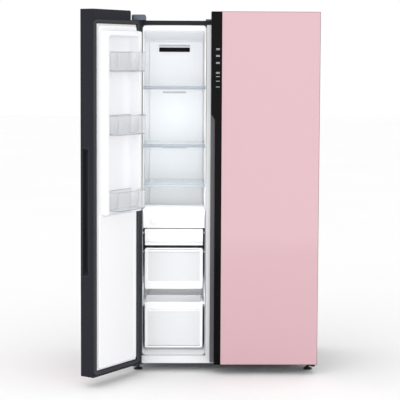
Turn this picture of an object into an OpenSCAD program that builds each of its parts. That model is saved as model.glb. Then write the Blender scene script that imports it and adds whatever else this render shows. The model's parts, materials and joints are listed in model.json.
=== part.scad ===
// Side by side refrigerator: freezer on the left, refrigerator on the right.
// Millimetres. +Z is up, the doors face -Y, +X is to the right of a person facing them.
// The freezer door is drawn open at freezer_door_open degrees, all else is closed.
// Origin: on the floor, under the middle of the object as drawn. The modules below work
// from the middle of the closed cabinet, and placed() moves them by origin_shift.

/* [Overall] */
// Width of the cabinet, and of the two closed doors together
cabinet_w = 916; // [750:1:1150]
// Height from the floor to the top of the doors
overall_h = 1778; // [1450:1:2150]
// Depth from the door fronts to the cabinet back
overall_d = 660; // [550:1:800]
// Opening angle of the freezer door as drawn
freezer_door_open = 125; // [0:1:130]

/* [Doors] */
// Width of the freezer door
freezer_door_w = 384; // [330:1:460]
// Gap between the two closed doors
door_gap = 4; // [3:0.5:8]
// Thickness of a door, glass included
door_t = 76; // [70:1:90]
// Height of the door bottoms above the floor
door_bottom = 50; // [46:1:60]
// How far the doors stand above the cabinet top
door_rise = 43; // [36:1:60]
// Thickness of the front glass
glass_t = 4; // [3:0.5:5]
// Wall of a door frame
frame_t = 2; // [1.5:0.5:3]
// Distance of a hinge axis from the side of the cabinet
hinge_side = 16; // [15:0.5:20]
// Distance of a hinge axis behind the door front
hinge_back = 40; // [36:0.5:44]
// Radius of a hinge pin
pin_r = 6; // [4:0.5:7]
// Radial clearance of a turning pin
run_gap = 0.05; // [0.02:0.01:0.1]
// Gap between door and cabinet, filled by the gasket
gasket_gap = 10; // [8:0.5:14]
// Width of the gasket
gasket_w = 15; // [12:0.5:18]
// Height of the liner pad that plugs the opening
pad_h = 12; // [8:1:14]
// Height of the dikes that carry the door bins
dike_h = 50; // [40:1:60]
// Width of a dike
dike_w = 26; // [20:1:34]
// Depth of a door bin from the door face
bin_d = 100; // [80:1:105]
// Height of a door bin
bin_h = 90; // [70:1:110]
// Wall of the bins
bin_t = 2.5; // [2:0.5:4]

/* [Handles] */
// Height of the pocket grip in the freezer door edge
pocket_h = 604; // [400:1:700]
// Height of the middle of the pocket grip above the floor
pocket_z = 830; // [700:1:900]
// Width of the pocket grip
pocket_w = 36; // [30:1:40]
// Depth of the pocket grip
pocket_d = 30; // [20:1:32]
// Width of the dark strip on the refrigerator door
strip_w = 52; // [45:1:70]
// Width of the open grip channel
channel_w = 19; // [16:1:24]
// Depth of the grip channel
channel_d = 43; // [30:1:46]
// Height of the upper end of the grip channel above the floor
channel_top = 1283; // [1000:1:1400]

/* [Cabinet] */
// Height of the cabinet bottom above the floor
cabinet_bottom = 39; // [36:1:44]
// Thickness of the steel sheet
sheet_t = 1; // [0.8:0.1:1.5]
// Thickness of the plastic liners
liner_t = 2; // [1.5:0.5:3]
// Outer wall beside the freezer
freezer_wall = 54; // [45:1:70]
// Outer wall beside the refrigerator space
fridge_wall = 48; // [40:1:65]
// Wall between the two spaces
mullion_w = 40; // [38:1:60]
// Wall behind the spaces
back_wall = 58; // [50:1:80]
// Height of the opening's lower edge above the cabinet bottom
sill_h = 41; // [40:1:60]
// Rise of the floor inside, behind the sloped sill
floor_rise = 28; // [15:1:40]
// Depth of the opening's upper edge below the cabinet top
head_h = 23; // [22:1:40]
// Drop of the ceiling inside, behind the sloped head
ceiling_drop = 20; // [12:1:40]
// Depth of the sloped head and sill
slope_d = 60; // [40:1:90]
// Height of the machine bay
bay_h = 216; // [200:1:260]
// Depth of the machine bay
bay_d = 225; // [215:1:260]
// Insulation between the machine bay and the spaces
bay_wall = 43; // [35:1:60]

/* [Freezer contents] */
// Gap between a drawer and the side of the freezer
drawer_side = 12; // [10:0.5:12]
// Height of the lower drawer
lower_drawer_h = 230; // [190:1:276]
// Space between the two drawers
drawer_space = 66; // [40:1:80]
// Height of the upper drawer
upper_drawer_h = 205; // [170:1:246]
// Height of the ice bucket
bucket_h = 82; // [68:1:98]
// Height of the ice maker
ice_h = 87; // [84:1:104]
// Wall of drawers and buckets
drawer_t = 2.5; // [2:0.5:4]
// Distance of each ice tray's axis from the middle of the freezer
tray_offset = 88; // [74:1:95]
// Width of an ice tray
tray_w = 74; // [60:1:76]

/* [Shelves] */
// Thickness of a glass shelf
shelf_t = 4; // [3:0.5:6]
// Distance of the shelf fronts from the door front
shelf_front = 190; // [186:1:230]
// Height of the front trim of a shelf
trim_h = 16; // [12:1:24]

/* [Feet and rollers] */
// Radius of a levelling foot's pad
foot_r = 22; // [18:1:26]
// Radius of a rear roller
roller_r = 16; // [12:0.5:17]

/* [Hidden] */
$fn = 48;
eps = 1; // overshoot of a cut
seam = 0.2; // between two slabs of insulation

// Place of the closed cabinet's middle in the object's frame
origin_shift = [114, 146, 0];

// Depth stations, from the door fronts to the back
front_y = -overall_d / 2;
back_y = overall_d / 2;
cab_y = front_y + door_t + gasket_gap; // front plane of the cabinet
liner_back = back_y - back_wall;
bay_y = back_y - bay_d;
step_y = bay_y - bay_wall; // the floor steps up over the machine bay here
shelf_y = front_y + shelf_front;
drawer_y = cab_y + 22; // front of drawers and ice maker

// Heights
cab_top = overall_h - door_rise;
open_z0 = cabinet_bottom + sill_h;
open_z1 = cab_top - head_h;
floor_z = open_z0 + floor_rise;
ceiling_z = open_z1 - ceiling_drop;
bay_top = cabinet_bottom + bay_h;
step_z = bay_top + bay_wall;

// Widths
side_x = cabinet_w / 2;
gap_x = -side_x + freezer_door_w + door_gap / 2; // middle of the gap between the doors
fz_x0 = -side_x + freezer_wall;
fz_x1 = gap_x - mullion_w / 2;
fr_x0 = gap_x + mullion_w / 2;
fr_x1 = side_x - fridge_wall;
fz_mid = (fz_x0 + fz_x1) / 2;
fr_mid = (fr_x0 + fr_x1) / 2;
fridge_door_w = cabinet_w - freezer_door_w - door_gap;
foam_x0 = fz_x0 - liner_t; // back faces of the liners
foam_x1 = fr_x1 + liner_t;
rail_lap = 8; // lap of a lower hinge bracket on the front rail

// Hinges
hinge_x = side_x - hinge_side;
hinge_y = front_y + hinge_back;
notch_w = 95; // notch in the door top for the hinge cover
notch_floor = cab_top - 2;
notch_skin = 2; // frame left in front of the notch
bush_r = 12;
pin_in = 22; // length of a pin inside the door
plate_t = 4;
cover_h = 27;
cover_w = 68;
cover_front = 20; // the cover reaches this far in front of the hinge axis
cover_back = 124; // and this far behind the cabinet's front plane

// Freezer, from the floor up
rail_t = 6;
rail_w = drawer_side - 3;
flange_w = drawer_side - 4;
drawer_w = fz_x1 - fz_x0 - 2 * drawer_side;
flange_drop = 20; // from a drawer's rim down to the rail
play = 0.5; // between sliding pieces
lower_drawer_z = floor_z + 4;
upper_drawer_z = lower_drawer_z + lower_drawer_h + drawer_space;
bucket_z = upper_drawer_z + upper_drawer_h + 13;
ice_z = bucket_z + bucket_h + 5;
ice_top = ice_z + ice_h;
drawer_front_t = 10;
lower_drawer_d = step_y - 8 - drawer_y;
deep_drawer_d = liner_back - 75 - drawer_y;
tray_axis_z = ice_z + ice_h / 2;
tray_h = 28;
tray_len = 236;
tray_y = drawer_y + 16;
knob_r = 28;
knob_t = 8;
shaft_r = 6;
stub_r = 4;
ice_back = tray_y + tray_len + 3;
housing_t = 2.5;

// Shelves, as shares of the free height above the pieces below them
fz_shelf_share = [0.684, 0.360, 0.135];
fz_shelf_z = [for (s = fz_shelf_share) ice_top + s * (ceiling_z - ice_top)];
crisper_z = [floor_z + 4, step_z + 14]; // lower, upper
crisper_h = [crisper_z[1] - crisper_z[0] - 20, 170];
fr_shelf_share = [0.72, 0.43, 0.0];
fr_base = crisper_z[1] + crisper_h[1] + trim_h + 2;
fr_shelf_z = [for (s = fr_shelf_share) fr_base + s * (ceiling_z - fr_base)];
shelf_gap = 2;
shelf_back = liner_back - 67;
rib_w = 8;

// Duct covers, in front of the evaporator
duct_y = liner_back - 57; // front of the cover plate
duct_t = 3;
raise_t = 8; // raised middle panel
fascia_drop = 45; // slanted fascia under the ceiling
fascia_d = 110;
vent_w = 160;
bezel_h = 23;
top_vent_z = ceiling_z - 78; // upper outlet of the ducts

// Door bins, as shares of the free height above the step of the liner
fz_dike_z = ice_top + 12;
fr_dike_z = fr_base + 14;
dike_top = ceiling_z - 8;
fz_bin_share = [0.777, 0.436, 0.027];
fz_bin_z = [for (s = fz_bin_share) fz_dike_z + s * (dike_top - fz_dike_z)];
fr_bin_share = [0.74, 0.41, 0.022];
fr_bin_z = [for (s = fr_bin_share) fr_dike_z + s * (dike_top - fr_dike_z)];

// Door liners: places along s, from the door's hinge-side edge
fz_s0 = freezer_wall;
fz_s1 = fz_s0 + fz_x1 - fz_x0;
fr_s0 = fridge_wall;
fr_s1 = fr_s0 + fr_x1 - fr_x0;
pad_gap = 8; // liner pad to cabinet opening
dike_in = 4; // dike to pad edge
recess_v = door_t - frame_t; // floor of the recess between the dikes
gasket_t = gasket_gap - 0.5;

// Handles
pocket_z0 = pocket_z - pocket_h / 2;
pocket_z1 = pocket_z + pocket_h / 2;
pocket_v = 11; // from the door front to the pocket
pocket_wall = 2;
groove_d = 6; // finger groove behind the pocket
pocket_outer = pocket_d + groove_d + pocket_wall;
pocket_slope = 20;
channel_s = fridge_door_w - strip_w + 19; // hidden side of the channel, behind the strip
channel_t = 2;
channel_slope = 28;
strip_s = fridge_door_w - strip_w;

// Feet, rollers and machine bay
foot_x = side_x - 33;
foot_y = cab_y + 44;
foot_stem_r = 5;
foot_pad_h = 10;
roller_w = 18;
roller_x = side_x - 60;
roller_y = back_y - 50;
axle_r = 4;
ear_t = 3;
evap_fan_z = ice_top + 330;
evap_fan_r = 52;
evap_fan_y = duct_y + duct_t + 10;
cond_fan_x = -40;
cond_fan_y = bay_y + 115;
cond_fan_z = cabinet_bottom + 112;
cond_fan_r = 70;

// Moves a piece from the cabinet's middle to its place in the object's frame
module placed() {
  translate(origin_shift) children();
}

// A box between two corners
module block(lo, hi) {
  translate(lo) cube(hi - lo);
}

// One slab of insulation, with half a seam left free all round
module slab(lo, hi) {
  g = seam / 2;
  block(lo + [g, g, g], hi - [g, g, g]);
}

// A plate with rounded corners, standing on z = 0
module round_plate(w, d, h, r) {
  translate([r, 0, 0]) cube([w - 2 * r, d, h]);
  translate([0, r, 0]) cube([w, d - 2 * r, h]);
  for (x = [r, w - r], y = [r, d - r]) translate([x, y, 0]) cylinder(r = r, h = h);
}

// Extrudes an outline drawn in Y and Z along X
module along_x(x0, x1, outline) {
  translate([x0, 0, 0]) rotate([90, 0, 90]) linear_extrude(x1 - x0) polygon(outline);
}

// Extrudes an outline drawn in X and Z along Y
module along_y(y0, y1, outline) {
  translate([0, y1, 0]) rotate([90, 0, 0]) linear_extrude(y1 - y0) polygon(outline);
}

// Places door coordinates: s from the hinge side, v from the front, z up
module on_freezer_door() {
  translate([-hinge_x, hinge_y, 0]) rotate([0, 0, -freezer_door_open])
    translate([hinge_x - side_x, front_y - hinge_y, 0]) children();
}

module on_fridge_door() {
  mirror([1, 0, 0]) translate([-side_x, front_y, 0]) children();
}

// ---------- Cabinet ----------

// Side sheets and top sheet, each with its own front flange
module cabinet_shell() {
  flange_l = freezer_wall - liner_t;
  flange_r = fridge_wall - liner_t;
  head_z = open_z1 + liner_t;
  side_z = cab_top - sheet_t - seam;
  color("#2a2c34") {
    block([-side_x, cab_y, cabinet_bottom], [-side_x + flange_l - seam, cab_y + sheet_t, side_z]);
    block([-side_x, cab_y, cabinet_bottom], [-side_x + sheet_t, back_y, side_z]);
    block([side_x - flange_r + seam, cab_y, cabinet_bottom], [side_x, cab_y + sheet_t, side_z]);
    block([side_x - sheet_t, cab_y, cabinet_bottom], [side_x, back_y, side_z]);
    block([-side_x, cab_y, cab_top - sheet_t], [side_x, back_y, cab_top]);
    block([foam_x0, cab_y, head_z], [foam_x1, cab_y + sheet_t, cab_top - sheet_t]);
  }
}

module back_plate() {
  color("#8d9094")
    block([-side_x + sheet_t, back_y - sheet_t, bay_top + 2],
          [side_x - sheet_t, back_y, cab_top - sheet_t]);
}

// Folded base sheet with the machine bay's step, foot nuts, roller ears and axles
module base_tray() {
  w = side_x - sheet_t;
  t = 2;
  nut_h = 13;
  color("#6b6e72") {
    difference() {
      union() {
        along_x(-w, w, [
          [cab_y + sheet_t, cabinet_bottom], [back_y - 12, cabinet_bottom],
          [back_y - 12, cabinet_bottom + t], [bay_y, cabinet_bottom + t],
          [bay_y, bay_top], [back_y - sheet_t, bay_top], [back_y - sheet_t, bay_top + t],
          [bay_y - t, bay_top + t], [bay_y - t, cabinet_bottom + t], [cab_y + sheet_t, cabinet_bottom + t]
        ]);
        for (x = [-foot_x, foot_x]) translate([x, foot_y, cabinet_bottom - nut_h])
          cylinder(r = 12, h = nut_h);
      }
      for (x = [-foot_x, foot_x]) translate([x, foot_y, cabinet_bottom - nut_h - eps])
        cylinder(r = foot_stem_r + run_gap, h = nut_h + t + 2 * eps);
    }
    for (x = [-roller_x, roller_x]) {
      for (dx = [-roller_w / 2 - 1 - ear_t, roller_w / 2 + 1])
        block([x + dx, roller_y - 12, roller_r - 8], [x + dx + ear_t, roller_y + 12, cabinet_bottom]);
      translate([x - roller_w / 2 - 1 - ear_t, roller_y, roller_r]) rotate([0, 90, 0])
        cylinder(r = axle_r, h = roller_w + 2 + 2 * ear_t);
    }
  }
}

// Insulation, drawn as slabs with a hairline seam between them
module cabinet_foam() {
  o = side_x - sheet_t;
  g = seam / 2;
  y0 = cab_y + sheet_t + g;
  y1 = back_y - sheet_t;
  z0 = cabinet_bottom + 2;
  z1 = cab_top - sheet_t;
  lt = liner_t;
  low_top = floor_z - lt;
  high_low = ceiling_z + lt;
  color("#e8dfa8") {
    for (w = [[-o, foam_x0], [foam_x1, o]]) {
      slab([w[0], y0, z0], [w[1], bay_y - 2, z1]);
      slab([w[0], bay_y - 2, bay_top + 2], [w[1], y1, z1]);
    }
    slab([fz_x1 + lt, y0, low_top], [fr_x0 - lt, step_y + lt, high_low]);
    slab([fz_x1 + lt, step_y + lt, step_z - lt], [fr_x0 - lt, liner_back + lt, high_low]);
    along_x(foam_x0 + g, foam_x1 - g, [
      [y0, open_z1 + lt + g], [cab_y + slope_d, high_low + g], [y1 - g, high_low + g], [y1 - g, z1 - g],
      [y0, z1 - g]
    ]);
    along_x(foam_x0 + g, foam_x1 - g, [
      [y0, z0 + g], [bay_y - 2 - g, z0 + g], [bay_y - 2 - g, low_top - g], [cab_y + slope_d, low_top - g],
      [y0, open_z0 - lt - g]
    ]);
    slab([foam_x0, step_y + lt, low_top], [foam_x1, bay_y - 2, step_z - lt]);
    slab([foam_x0, bay_y - 2, bay_top + 2], [foam_x1, y1, step_z - lt]);
    slab([foam_x0, liner_back + lt, step_z - lt], [foam_x1, y1, high_low]);
  }
}

// Inside outline of a space, seen from the side; g grows it outwards
function space_outline(g, over) = [
  [cab_y - over, open_z0 - g], [cab_y, open_z0 - g], [cab_y + slope_d, floor_z - g],
  [step_y + g, floor_z - g], [step_y + g, step_z - g], [liner_back + g, step_z - g],
  [liner_back + g, ceiling_z + g], [cab_y + slope_d, ceiling_z + g], [cab_y, open_z1 + g],
  [cab_y - over, open_z1 + g]
];

// A liner with its side ribs; each rib is [height of its top, front y, back y, width]
module liner(x0, x1, ribs) {
  difference() {
    along_x(x0 - liner_t, x1 + liner_t, space_outline(liner_t, 0));
    along_x(x0, x1, space_outline(0, eps));
  }
  for (r = ribs) {
    block([x0 - liner_t / 2, r[1], r[0] - rail_t], [x0 + r[3], r[2], r[0]]);
    block([x1 - r[3], r[1], r[0] - rail_t], [x1 + liner_t / 2, r[2], r[0]]);
  }
}

module freezer_liner() {
  low = step_y - 12;
  deep = shelf_back - 5;
  shelf_ribs = [for (z = fz_shelf_z) [z - shelf_t, shelf_y + 10, deep, rib_w]];
  rails = [
    [lower_drawer_z + lower_drawer_h - flange_drop, drawer_y + 20, low, rail_w],
    [upper_drawer_z + upper_drawer_h - flange_drop, drawer_y + 20, deep, rail_w],
    [bucket_z + bucket_h - flange_drop, drawer_y + 20, deep, rail_w],
    [ice_z, drawer_y + 20, deep, rib_w - 2]
  ];
  color("#f4f5f7") liner(fz_x0, fz_x1, concat(shelf_ribs, rails));
}

module fridge_liner() {
  low = step_y - 12;
  deep = shelf_back - 5;
  shelf_ribs = [for (z = fr_shelf_z) [z - shelf_t, shelf_y + 20, deep, rib_w]];
  crisper_ribs = [
    [crisper_z[1], shelf_y + 10, deep, 20],
    [crisper_z[0], shelf_y + 10, low, 20]
  ];
  color("#f4f5f7") liner(fr_x0, fr_x1, concat(shelf_ribs, crisper_ribs));
}

module mullion_trim() {
  color("#f4f5f7")
    block([fz_x1 + liner_t, cab_y, open_z0 - liner_t],
          [fr_x0 - liner_t, cab_y + sheet_t, open_z1 + liner_t]);
}

module front_rail() {
  color("#eceef0")
    block([foam_x0, cab_y, cabinet_bottom], [foam_x1, cab_y + sheet_t, open_z0 - liner_t]);
}

// ---------- Hinges ----------

// Upper hinge: plate on the cabinet top, pin down into the door; drawn for the left side
module top_hinge() {
  px = -hinge_x;
  translate([0, 0, cab_top]) {
    translate([px, hinge_y, 0]) cylinder(r = 12, h = plate_t);
    linear_extrude(plate_t) polygon([
      [px - 12, hinge_y], [px + 12, hinge_y], [px + 38, cab_y + 30],
      [px + 38, cab_y + 100], [px - 12, cab_y + 100]
    ]);
    for (p = [[0, 45], [26, 45], [13, 82]]) translate([px + p[0], cab_y + p[1], plate_t])
      cylinder(r = 7, h = 5, $fn = 6);
  }
  translate([px, hinge_y, notch_floor - pin_in]) cylinder(r = pin_r, h = cab_top - notch_floor + pin_in);
}

// Lower hinge: bracket under the cabinet, washer and pin up into the door
module bottom_hinge() {
  px = -hinge_x;
  z = cabinet_bottom - plate_t;
  bracket_end = max(freezer_wall, fridge_wall) - side_x - liner_t + rail_lap;
  translate([0, 0, z]) {
    translate([px, hinge_y, 0]) cylinder(r = 12, h = plate_t);
    linear_extrude(plate_t) polygon([
      [px - 12, hinge_y], [px + 12, hinge_y], [bracket_end, cab_y + sheet_t],
      [bracket_end, cab_y + 26], [px - 12, cab_y + 26]
    ]);
  }
  translate([px, hinge_y, cabinet_bottom]) cylinder(r = 10, h = door_bottom - cabinet_bottom - play);
  translate([px, hinge_y, cabinet_bottom]) cylinder(r = pin_r, h = door_bottom - cabinet_bottom + pin_in);
}

module both_sides() {
  children();
  mirror([1, 0, 0]) children();
}

module top_hinges() { color("#b9bcc0") both_sides() top_hinge(); }
module bottom_hinges() { color("#3a3c40") both_sides() bottom_hinge(); }

module hinge_cover() {
  x = -side_x + 2;
  y = hinge_y - cover_front;
  d = cover_front + cab_y - hinge_y + cover_back;
  t = 2;
  translate([x, y, cab_top]) difference() {
    round_plate(cover_w, d, cover_h, 12);
    translate([t, t, -eps]) round_plate(cover_w - 2 * t, d - 2 * t, cover_h - t + eps, 10);
  }
}

module hinge_covers() { color("#4a4f58") both_sides() hinge_cover(); }

// ---------- Air ducts and cooling ----------

module vent_rows(x0, x1, z, rows) {
  for (i = [0 : rows - 1])
    block([x0, duct_y - raise_t - eps, z - i * 16], [x1, duct_y + duct_t + eps, z - i * 16 + 8]);
}

// Back panel of a space, with returns to the liner, and a slanted fascia under the ceiling
// that is clipped on as a piece of its own; vents are [left, right, top, rows]
module duct_cover(x0, x1, raise_l, raise_r, z0, vents) {
  a = x0 + shelf_gap;
  b = x1 - shelf_gap;
  top = ceiling_z - 1;
  fascia_z = top - fascia_drop;
  difference() {
    union() {
      block([a, duct_y, z0], [b, duct_y + duct_t, top]);
      block([a, duct_y, z0], [a + duct_t, liner_back, top]);
      block([b - duct_t, duct_y, z0], [b, liner_back, top]);
      block([x0 + raise_l, duct_y - raise_t, z0], [x1 - raise_r, duct_y, fascia_z - 8]);
    }
    for (v = vents) vent_rows(v[0], v[1], v[2], v[3]);
  }
  front = duct_y - fascia_d;
  along_x(a, b, [[duct_y - seam, fascia_z], [duct_y - seam, top], [front, top], [front, top - 4]]);
}

module freezer_duct_cover() {
  a = fz_mid - vent_w / 2;
  b = fz_mid + vent_w / 2;
  color("#f0f1f4") duct_cover(fz_x0, fz_x1, 26, 7, step_z + 1, [
    [a, b, top_vent_z, 1],
    [a + 20, b - 20, fz_shelf_z[0] - 40, 1],
    [a + 20, b - 20, fz_shelf_z[1] - 40, 1],
    [a, b, step_z + 90, 4]
  ]);
}

module vent_bezel() {
  y = duct_y - raise_t;
  color("#17181b") translate([fz_mid - vent_w / 2, y, top_vent_z - 29]) rotate([90, 0, 0])
    round_plate(vent_w, bezel_h, 5, 4);
}

module fridge_duct_cover() {
  a = fr_mid - vent_w / 2;
  b = fr_mid + vent_w / 2;
  color("#f0f1f4") duct_cover(fr_x0, fr_x1, 60, 60, step_z + 1, [
    [a, b, top_vent_z, 1],
    [a, b, fr_shelf_z[0] - 50, 2],
    [a, b, fr_shelf_z[1] - 50, 2],
    [a, b, fr_shelf_z[2] - 50, 2]
  ]);
}

// A finned coil: tubes along X through thin fins
module coil(size, rows, cols, fins, tube_r) {
  dz = size[2] / rows;
  dy = size[1] / cols;
  for (i = [0 : rows - 1], j = [0 : cols - 1]) translate([0, (j + 0.5) * dy, (i + 0.5) * dz])
    rotate([0, 90, 0]) cylinder(r = tube_r, h = size[0], $fn = 24);
  for (k = [0 : fins - 1])
    translate([6 + k * (size[0] - 13) / (fins - 1), 0, 0]) cube([1, size[1], size[2]]);
}

module evaporator() {
  w = fz_x1 - fz_x0 - 40;
  color("#c3c7cb") translate([fz_mid - w / 2, duct_y + duct_t + 4, step_z + 110])
    coil([w, 42, 260], 8, 1, 18, 4.5);
}

// Fan wheel about the Z axis
module fan_wheel(r, h, blades) {
  hub = r * 0.3;
  cylinder(r = hub, h = h);
  for (i = [0 : blades - 1]) rotate([0, 0, i * 360 / blades]) translate([0, 0, h / 2])
    rotate([28, 0, 0]) translate([hub * 0.8, -r * 0.22, -1]) cube([r * 0.95 - hub * 0.8, r * 0.44, 2]);
}

module evaporator_fan() {
  color("#dfe2e6") translate([fz_mid, evap_fan_y + 14, evap_fan_z]) rotate([90, 0, 0])
    fan_wheel(evap_fan_r, 14, 5);
}

module condenser_fan() {
  color("#2f3135") translate([cond_fan_x, cond_fan_y, cond_fan_z]) rotate([0, 90, 0])
    fan_wheel(cond_fan_r, 22, 5);
}

module fan_motors() {
  my = evap_fan_y + 15;
  ring_r = cond_fan_r + 6;
  color("#4b4e53") {
    translate([fz_mid, liner_back - 3, evap_fan_z]) rotate([90, 0, 0])
      cylinder(r = 20, h = liner_back - 3 - my);
    block([fz_mid - 70, liner_back - 3, evap_fan_z - 8], [fz_mid + 70, liner_back, evap_fan_z + 8]);
    translate([cond_fan_x + 23, cond_fan_y, cond_fan_z]) rotate([0, 90, 0]) cylinder(r = 22, h = 30);
    difference() {
      block([cond_fan_x + 30, cond_fan_y - ring_r - 6, cabinet_bottom + 2],
            [cond_fan_x + 34, cond_fan_y + ring_r + 6, bay_top - 2]);
      translate([cond_fan_x + 29, cond_fan_y, cond_fan_z]) rotate([0, 90, 0]) cylinder(r = ring_r, h = 6);
    }
    block([cond_fan_x + 30, cond_fan_y - ring_r - 1, cond_fan_z - 5],
          [cond_fan_x + 34, cond_fan_y + ring_r + 1, cond_fan_z + 5]);
  }
}

module compressor() {
  x = side_x - 210;
  y = bay_y + 112;
  z = cabinet_bottom + 2;
  r = 72;
  color("#1d1e21") translate([x, y, z]) {
    for (dx = [-70, 70], dy = [-52, 52]) translate([dx, dy, 0]) cylinder(r = 12, h = 14);
    translate([-88, -66, 14]) round_plate(176, 132, 3, 14);
    translate([0, 0, 17]) cylinder(r = r, h = 96);
    translate([0, 0, 113]) intersection() {
      translate([0, 0, -60]) sphere(r = sqrt(r * r + 60 * 60));
      cylinder(r = r, h = 60);
    }
    for (a = [30, 150]) rotate([0, 0, a]) translate([r - 4, 0, 70]) rotate([0, 90, 0])
      cylinder(r = 5, h = 22);
    block([-34, r - 6, 40], [34, r + 24, 96]);
  }
}

module condenser() {
  w = 230;
  color("#25272a") translate([-side_x + 110, bay_y + 45, cabinet_bottom + 58])
    coil([w, 140, 140], 5, 4, 14, 3.5);
}

module drain_pan() {
  x0 = -side_x + 96;
  x1 = x0 + 258;
  y0 = bay_y + 30;
  y1 = y0 + 170;
  z0 = cabinet_bottom + 4;
  color("#d8dadd") difference() {
    block([x0, y0, z0], [x1, y1, z0 + 40]);
    block([x0 + 2, y0 + 2, z0 + 2], [x1 - 2, y1 - 2, z0 + 41]);
  }
  color("#d8dadd") block([x0 + 20, y0 + 20, cabinet_bottom + 2], [x1 - 20, y1 - 20, z0]);
}

// Cover of the machine bay with two fields of air slots
module rear_cover() {
  w = side_x - sheet_t - 1;
  y = back_y - 10;
  slots = 14;
  color("#3a3c40") difference() {
    block([-w, y, cabinet_bottom + 3], [w, y + 2, bay_top - 1]);
    for (side = [-1, 1], i = [0 : slots - 1])
      translate([side * (w - 190), 0, cabinet_bottom + 30 + i * 12])
        block([-130, y - eps, 0], [130, y + 2 + eps, 5]);
    translate([-w + 40, y - eps, cabinet_bottom + 100]) cube([40, 2 + 2 * eps, 30]);
  }
}

module mains_inlet() {
  w = side_x - sheet_t - 1;
  x = -w + 40;
  y = back_y - 10;
  z = cabinet_bottom + 100;
  color("#1b1c1e") difference() {
    union() {
      block([x, y - 6, z], [x + 40, y + 2, z + 30]);
      block([x - 4, y + 2, z - 4], [x + 44, y + 4, z + 34]);
      translate([x + 20, y + 9, z + 15]) rotate([90, 0, 0]) cylinder(r = 9, h = 9);
    }
    translate([x + 20, y + 10, z + 15]) rotate([90, 0, 0]) cylinder(r = 4, h = 14);
  }
}

// ---------- Shelves, crispers and ice maker ----------

module glass_shelf(x0, x1, z, y0) {
  block([x0 + shelf_gap, y0, z - shelf_t], [x1 - shelf_gap, shelf_back, z]);
}

module freezer_shelf(i) { color("#cfe4e6", 0.5) glass_shelf(fz_x0, fz_x1, fz_shelf_z[i], shelf_y); }
module fridge_shelves() {
  color("#cfe4e6", 0.5) for (z = fr_shelf_z) glass_shelf(fr_x0, fr_x1, z, shelf_y + 10);
}

// White front trim that grips the glass
module shelf_trim(x0, x1, z, y0) {
  difference() {
    block([x0 + shelf_gap, y0 - 6, z - trim_h + 3], [x1 - shelf_gap, y0 + 8, z + 3]);
    block([x0, y0, z - shelf_t], [x1, y0 + 9, z]);
  }
}

module shelf_trims() {
  color("#fafafa") {
    for (z = fz_shelf_z) shelf_trim(fz_x0, fz_x1, z, shelf_y);
    for (z = fr_shelf_z) shelf_trim(fr_x0, fr_x1, z, shelf_y + 10);
  }
}

// An open box; origin at its low front left corner
module tub(w, d, h, t) {
  difference() {
    cube([w, d, h]);
    translate([t, t, t]) cube([w - 2 * t, d - 2 * t, h]);
  }
}

module crisper(z, h, back) {
  g = 22;
  y0 = shelf_y + 14;
  w = fr_x1 - fr_x0 - 2 * g;
  translate([fr_x0 + g, y0, z + play]) {
    tub(w, back - y0, h, drawer_t);
    translate([0, -8, 0]) cube([w, 8, h + 2]);
  }
  translate([fr_x0 + g - 14, y0, z + play]) cube([14, back - y0, 3]);
  translate([fr_x1 - g, y0, z + play]) cube([14, back - y0, 3]);
}

module crisper_upper() { color("#dfe9ee", 0.6) crisper(crisper_z[1], crisper_h[1], shelf_back - 10); }
module crisper_lower() { color("#dfe9ee", 0.6) crisper(crisper_z[0], crisper_h[0], step_y - 14); }

module at_trays() {
  for (s = [-1, 1]) translate([fz_mid + s * tray_offset, 0, tray_axis_z]) children();
}

module ice_maker_housing() {
  x0 = fz_x0 + 4;
  x1 = fz_x1 - 4;
  t = housing_t;
  color("#fbfbfb") difference() {
    block([x0, drawer_y, ice_z], [x1, ice_back + t, ice_top]);
    block([x0 + t, drawer_y + 4, ice_z - eps], [x1 - t, ice_back, ice_top - t]);
    at_trays() translate([0, drawer_y + 5, 0]) rotate([90, 0, 0]) cylinder(r = shaft_r + run_gap, h = 6);
    at_trays() translate([0, ice_back + t + eps, 0]) rotate([90, 0, 0])
      cylinder(r = stub_r + run_gap, h = t + 2 * eps);
  }
}

module ice_knob(side) {
  color("#eef0f2") translate([fz_mid + side * tray_offset, drawer_y, tray_axis_z]) rotate([90, 0, 0]) {
    cylinder(r = knob_r, h = knob_t - 4);
    translate([0, 0, knob_t - 4]) cylinder(r = knob_r - 4, h = 2);
    translate([-5, 4 - knob_r, knob_t - 4]) cube([10, 2 * knob_r - 8, 5]);
    translate([0, 0, drawer_y - tray_y]) cylinder(r = shaft_r, h = tray_y - drawer_y);
  }
}

// Twist tray with two rows of cube cells
module ice_tray(side) {
  cells = 6;
  pitch = (tray_len - 8) / cells;
  cell_w = (tray_w - 12) / 2;
  color("#e4edf2") translate([fz_mid + side * tray_offset, tray_y, tray_axis_z]) {
    difference() {
      translate([-tray_w / 2, 0, -tray_h / 2]) cube([tray_w, tray_len, tray_h]);
      for (i = [0 : cells - 1], c = [-1, 1])
        translate([c * (cell_w / 2 + 2) - cell_w / 2, 6 + i * pitch, 3 - tray_h / 2])
          cube([cell_w, pitch - 4, tray_h]);
      translate([3 - tray_w / 2, 3, tray_h / 2 - 7]) cube([tray_w - 6, tray_len - 6, 8]);
    }
    translate([0, tray_len + 3 + housing_t, 0]) rotate([90, 0, 0]) cylinder(r = stub_r, h = 3 + housing_t);
  }
}

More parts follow.
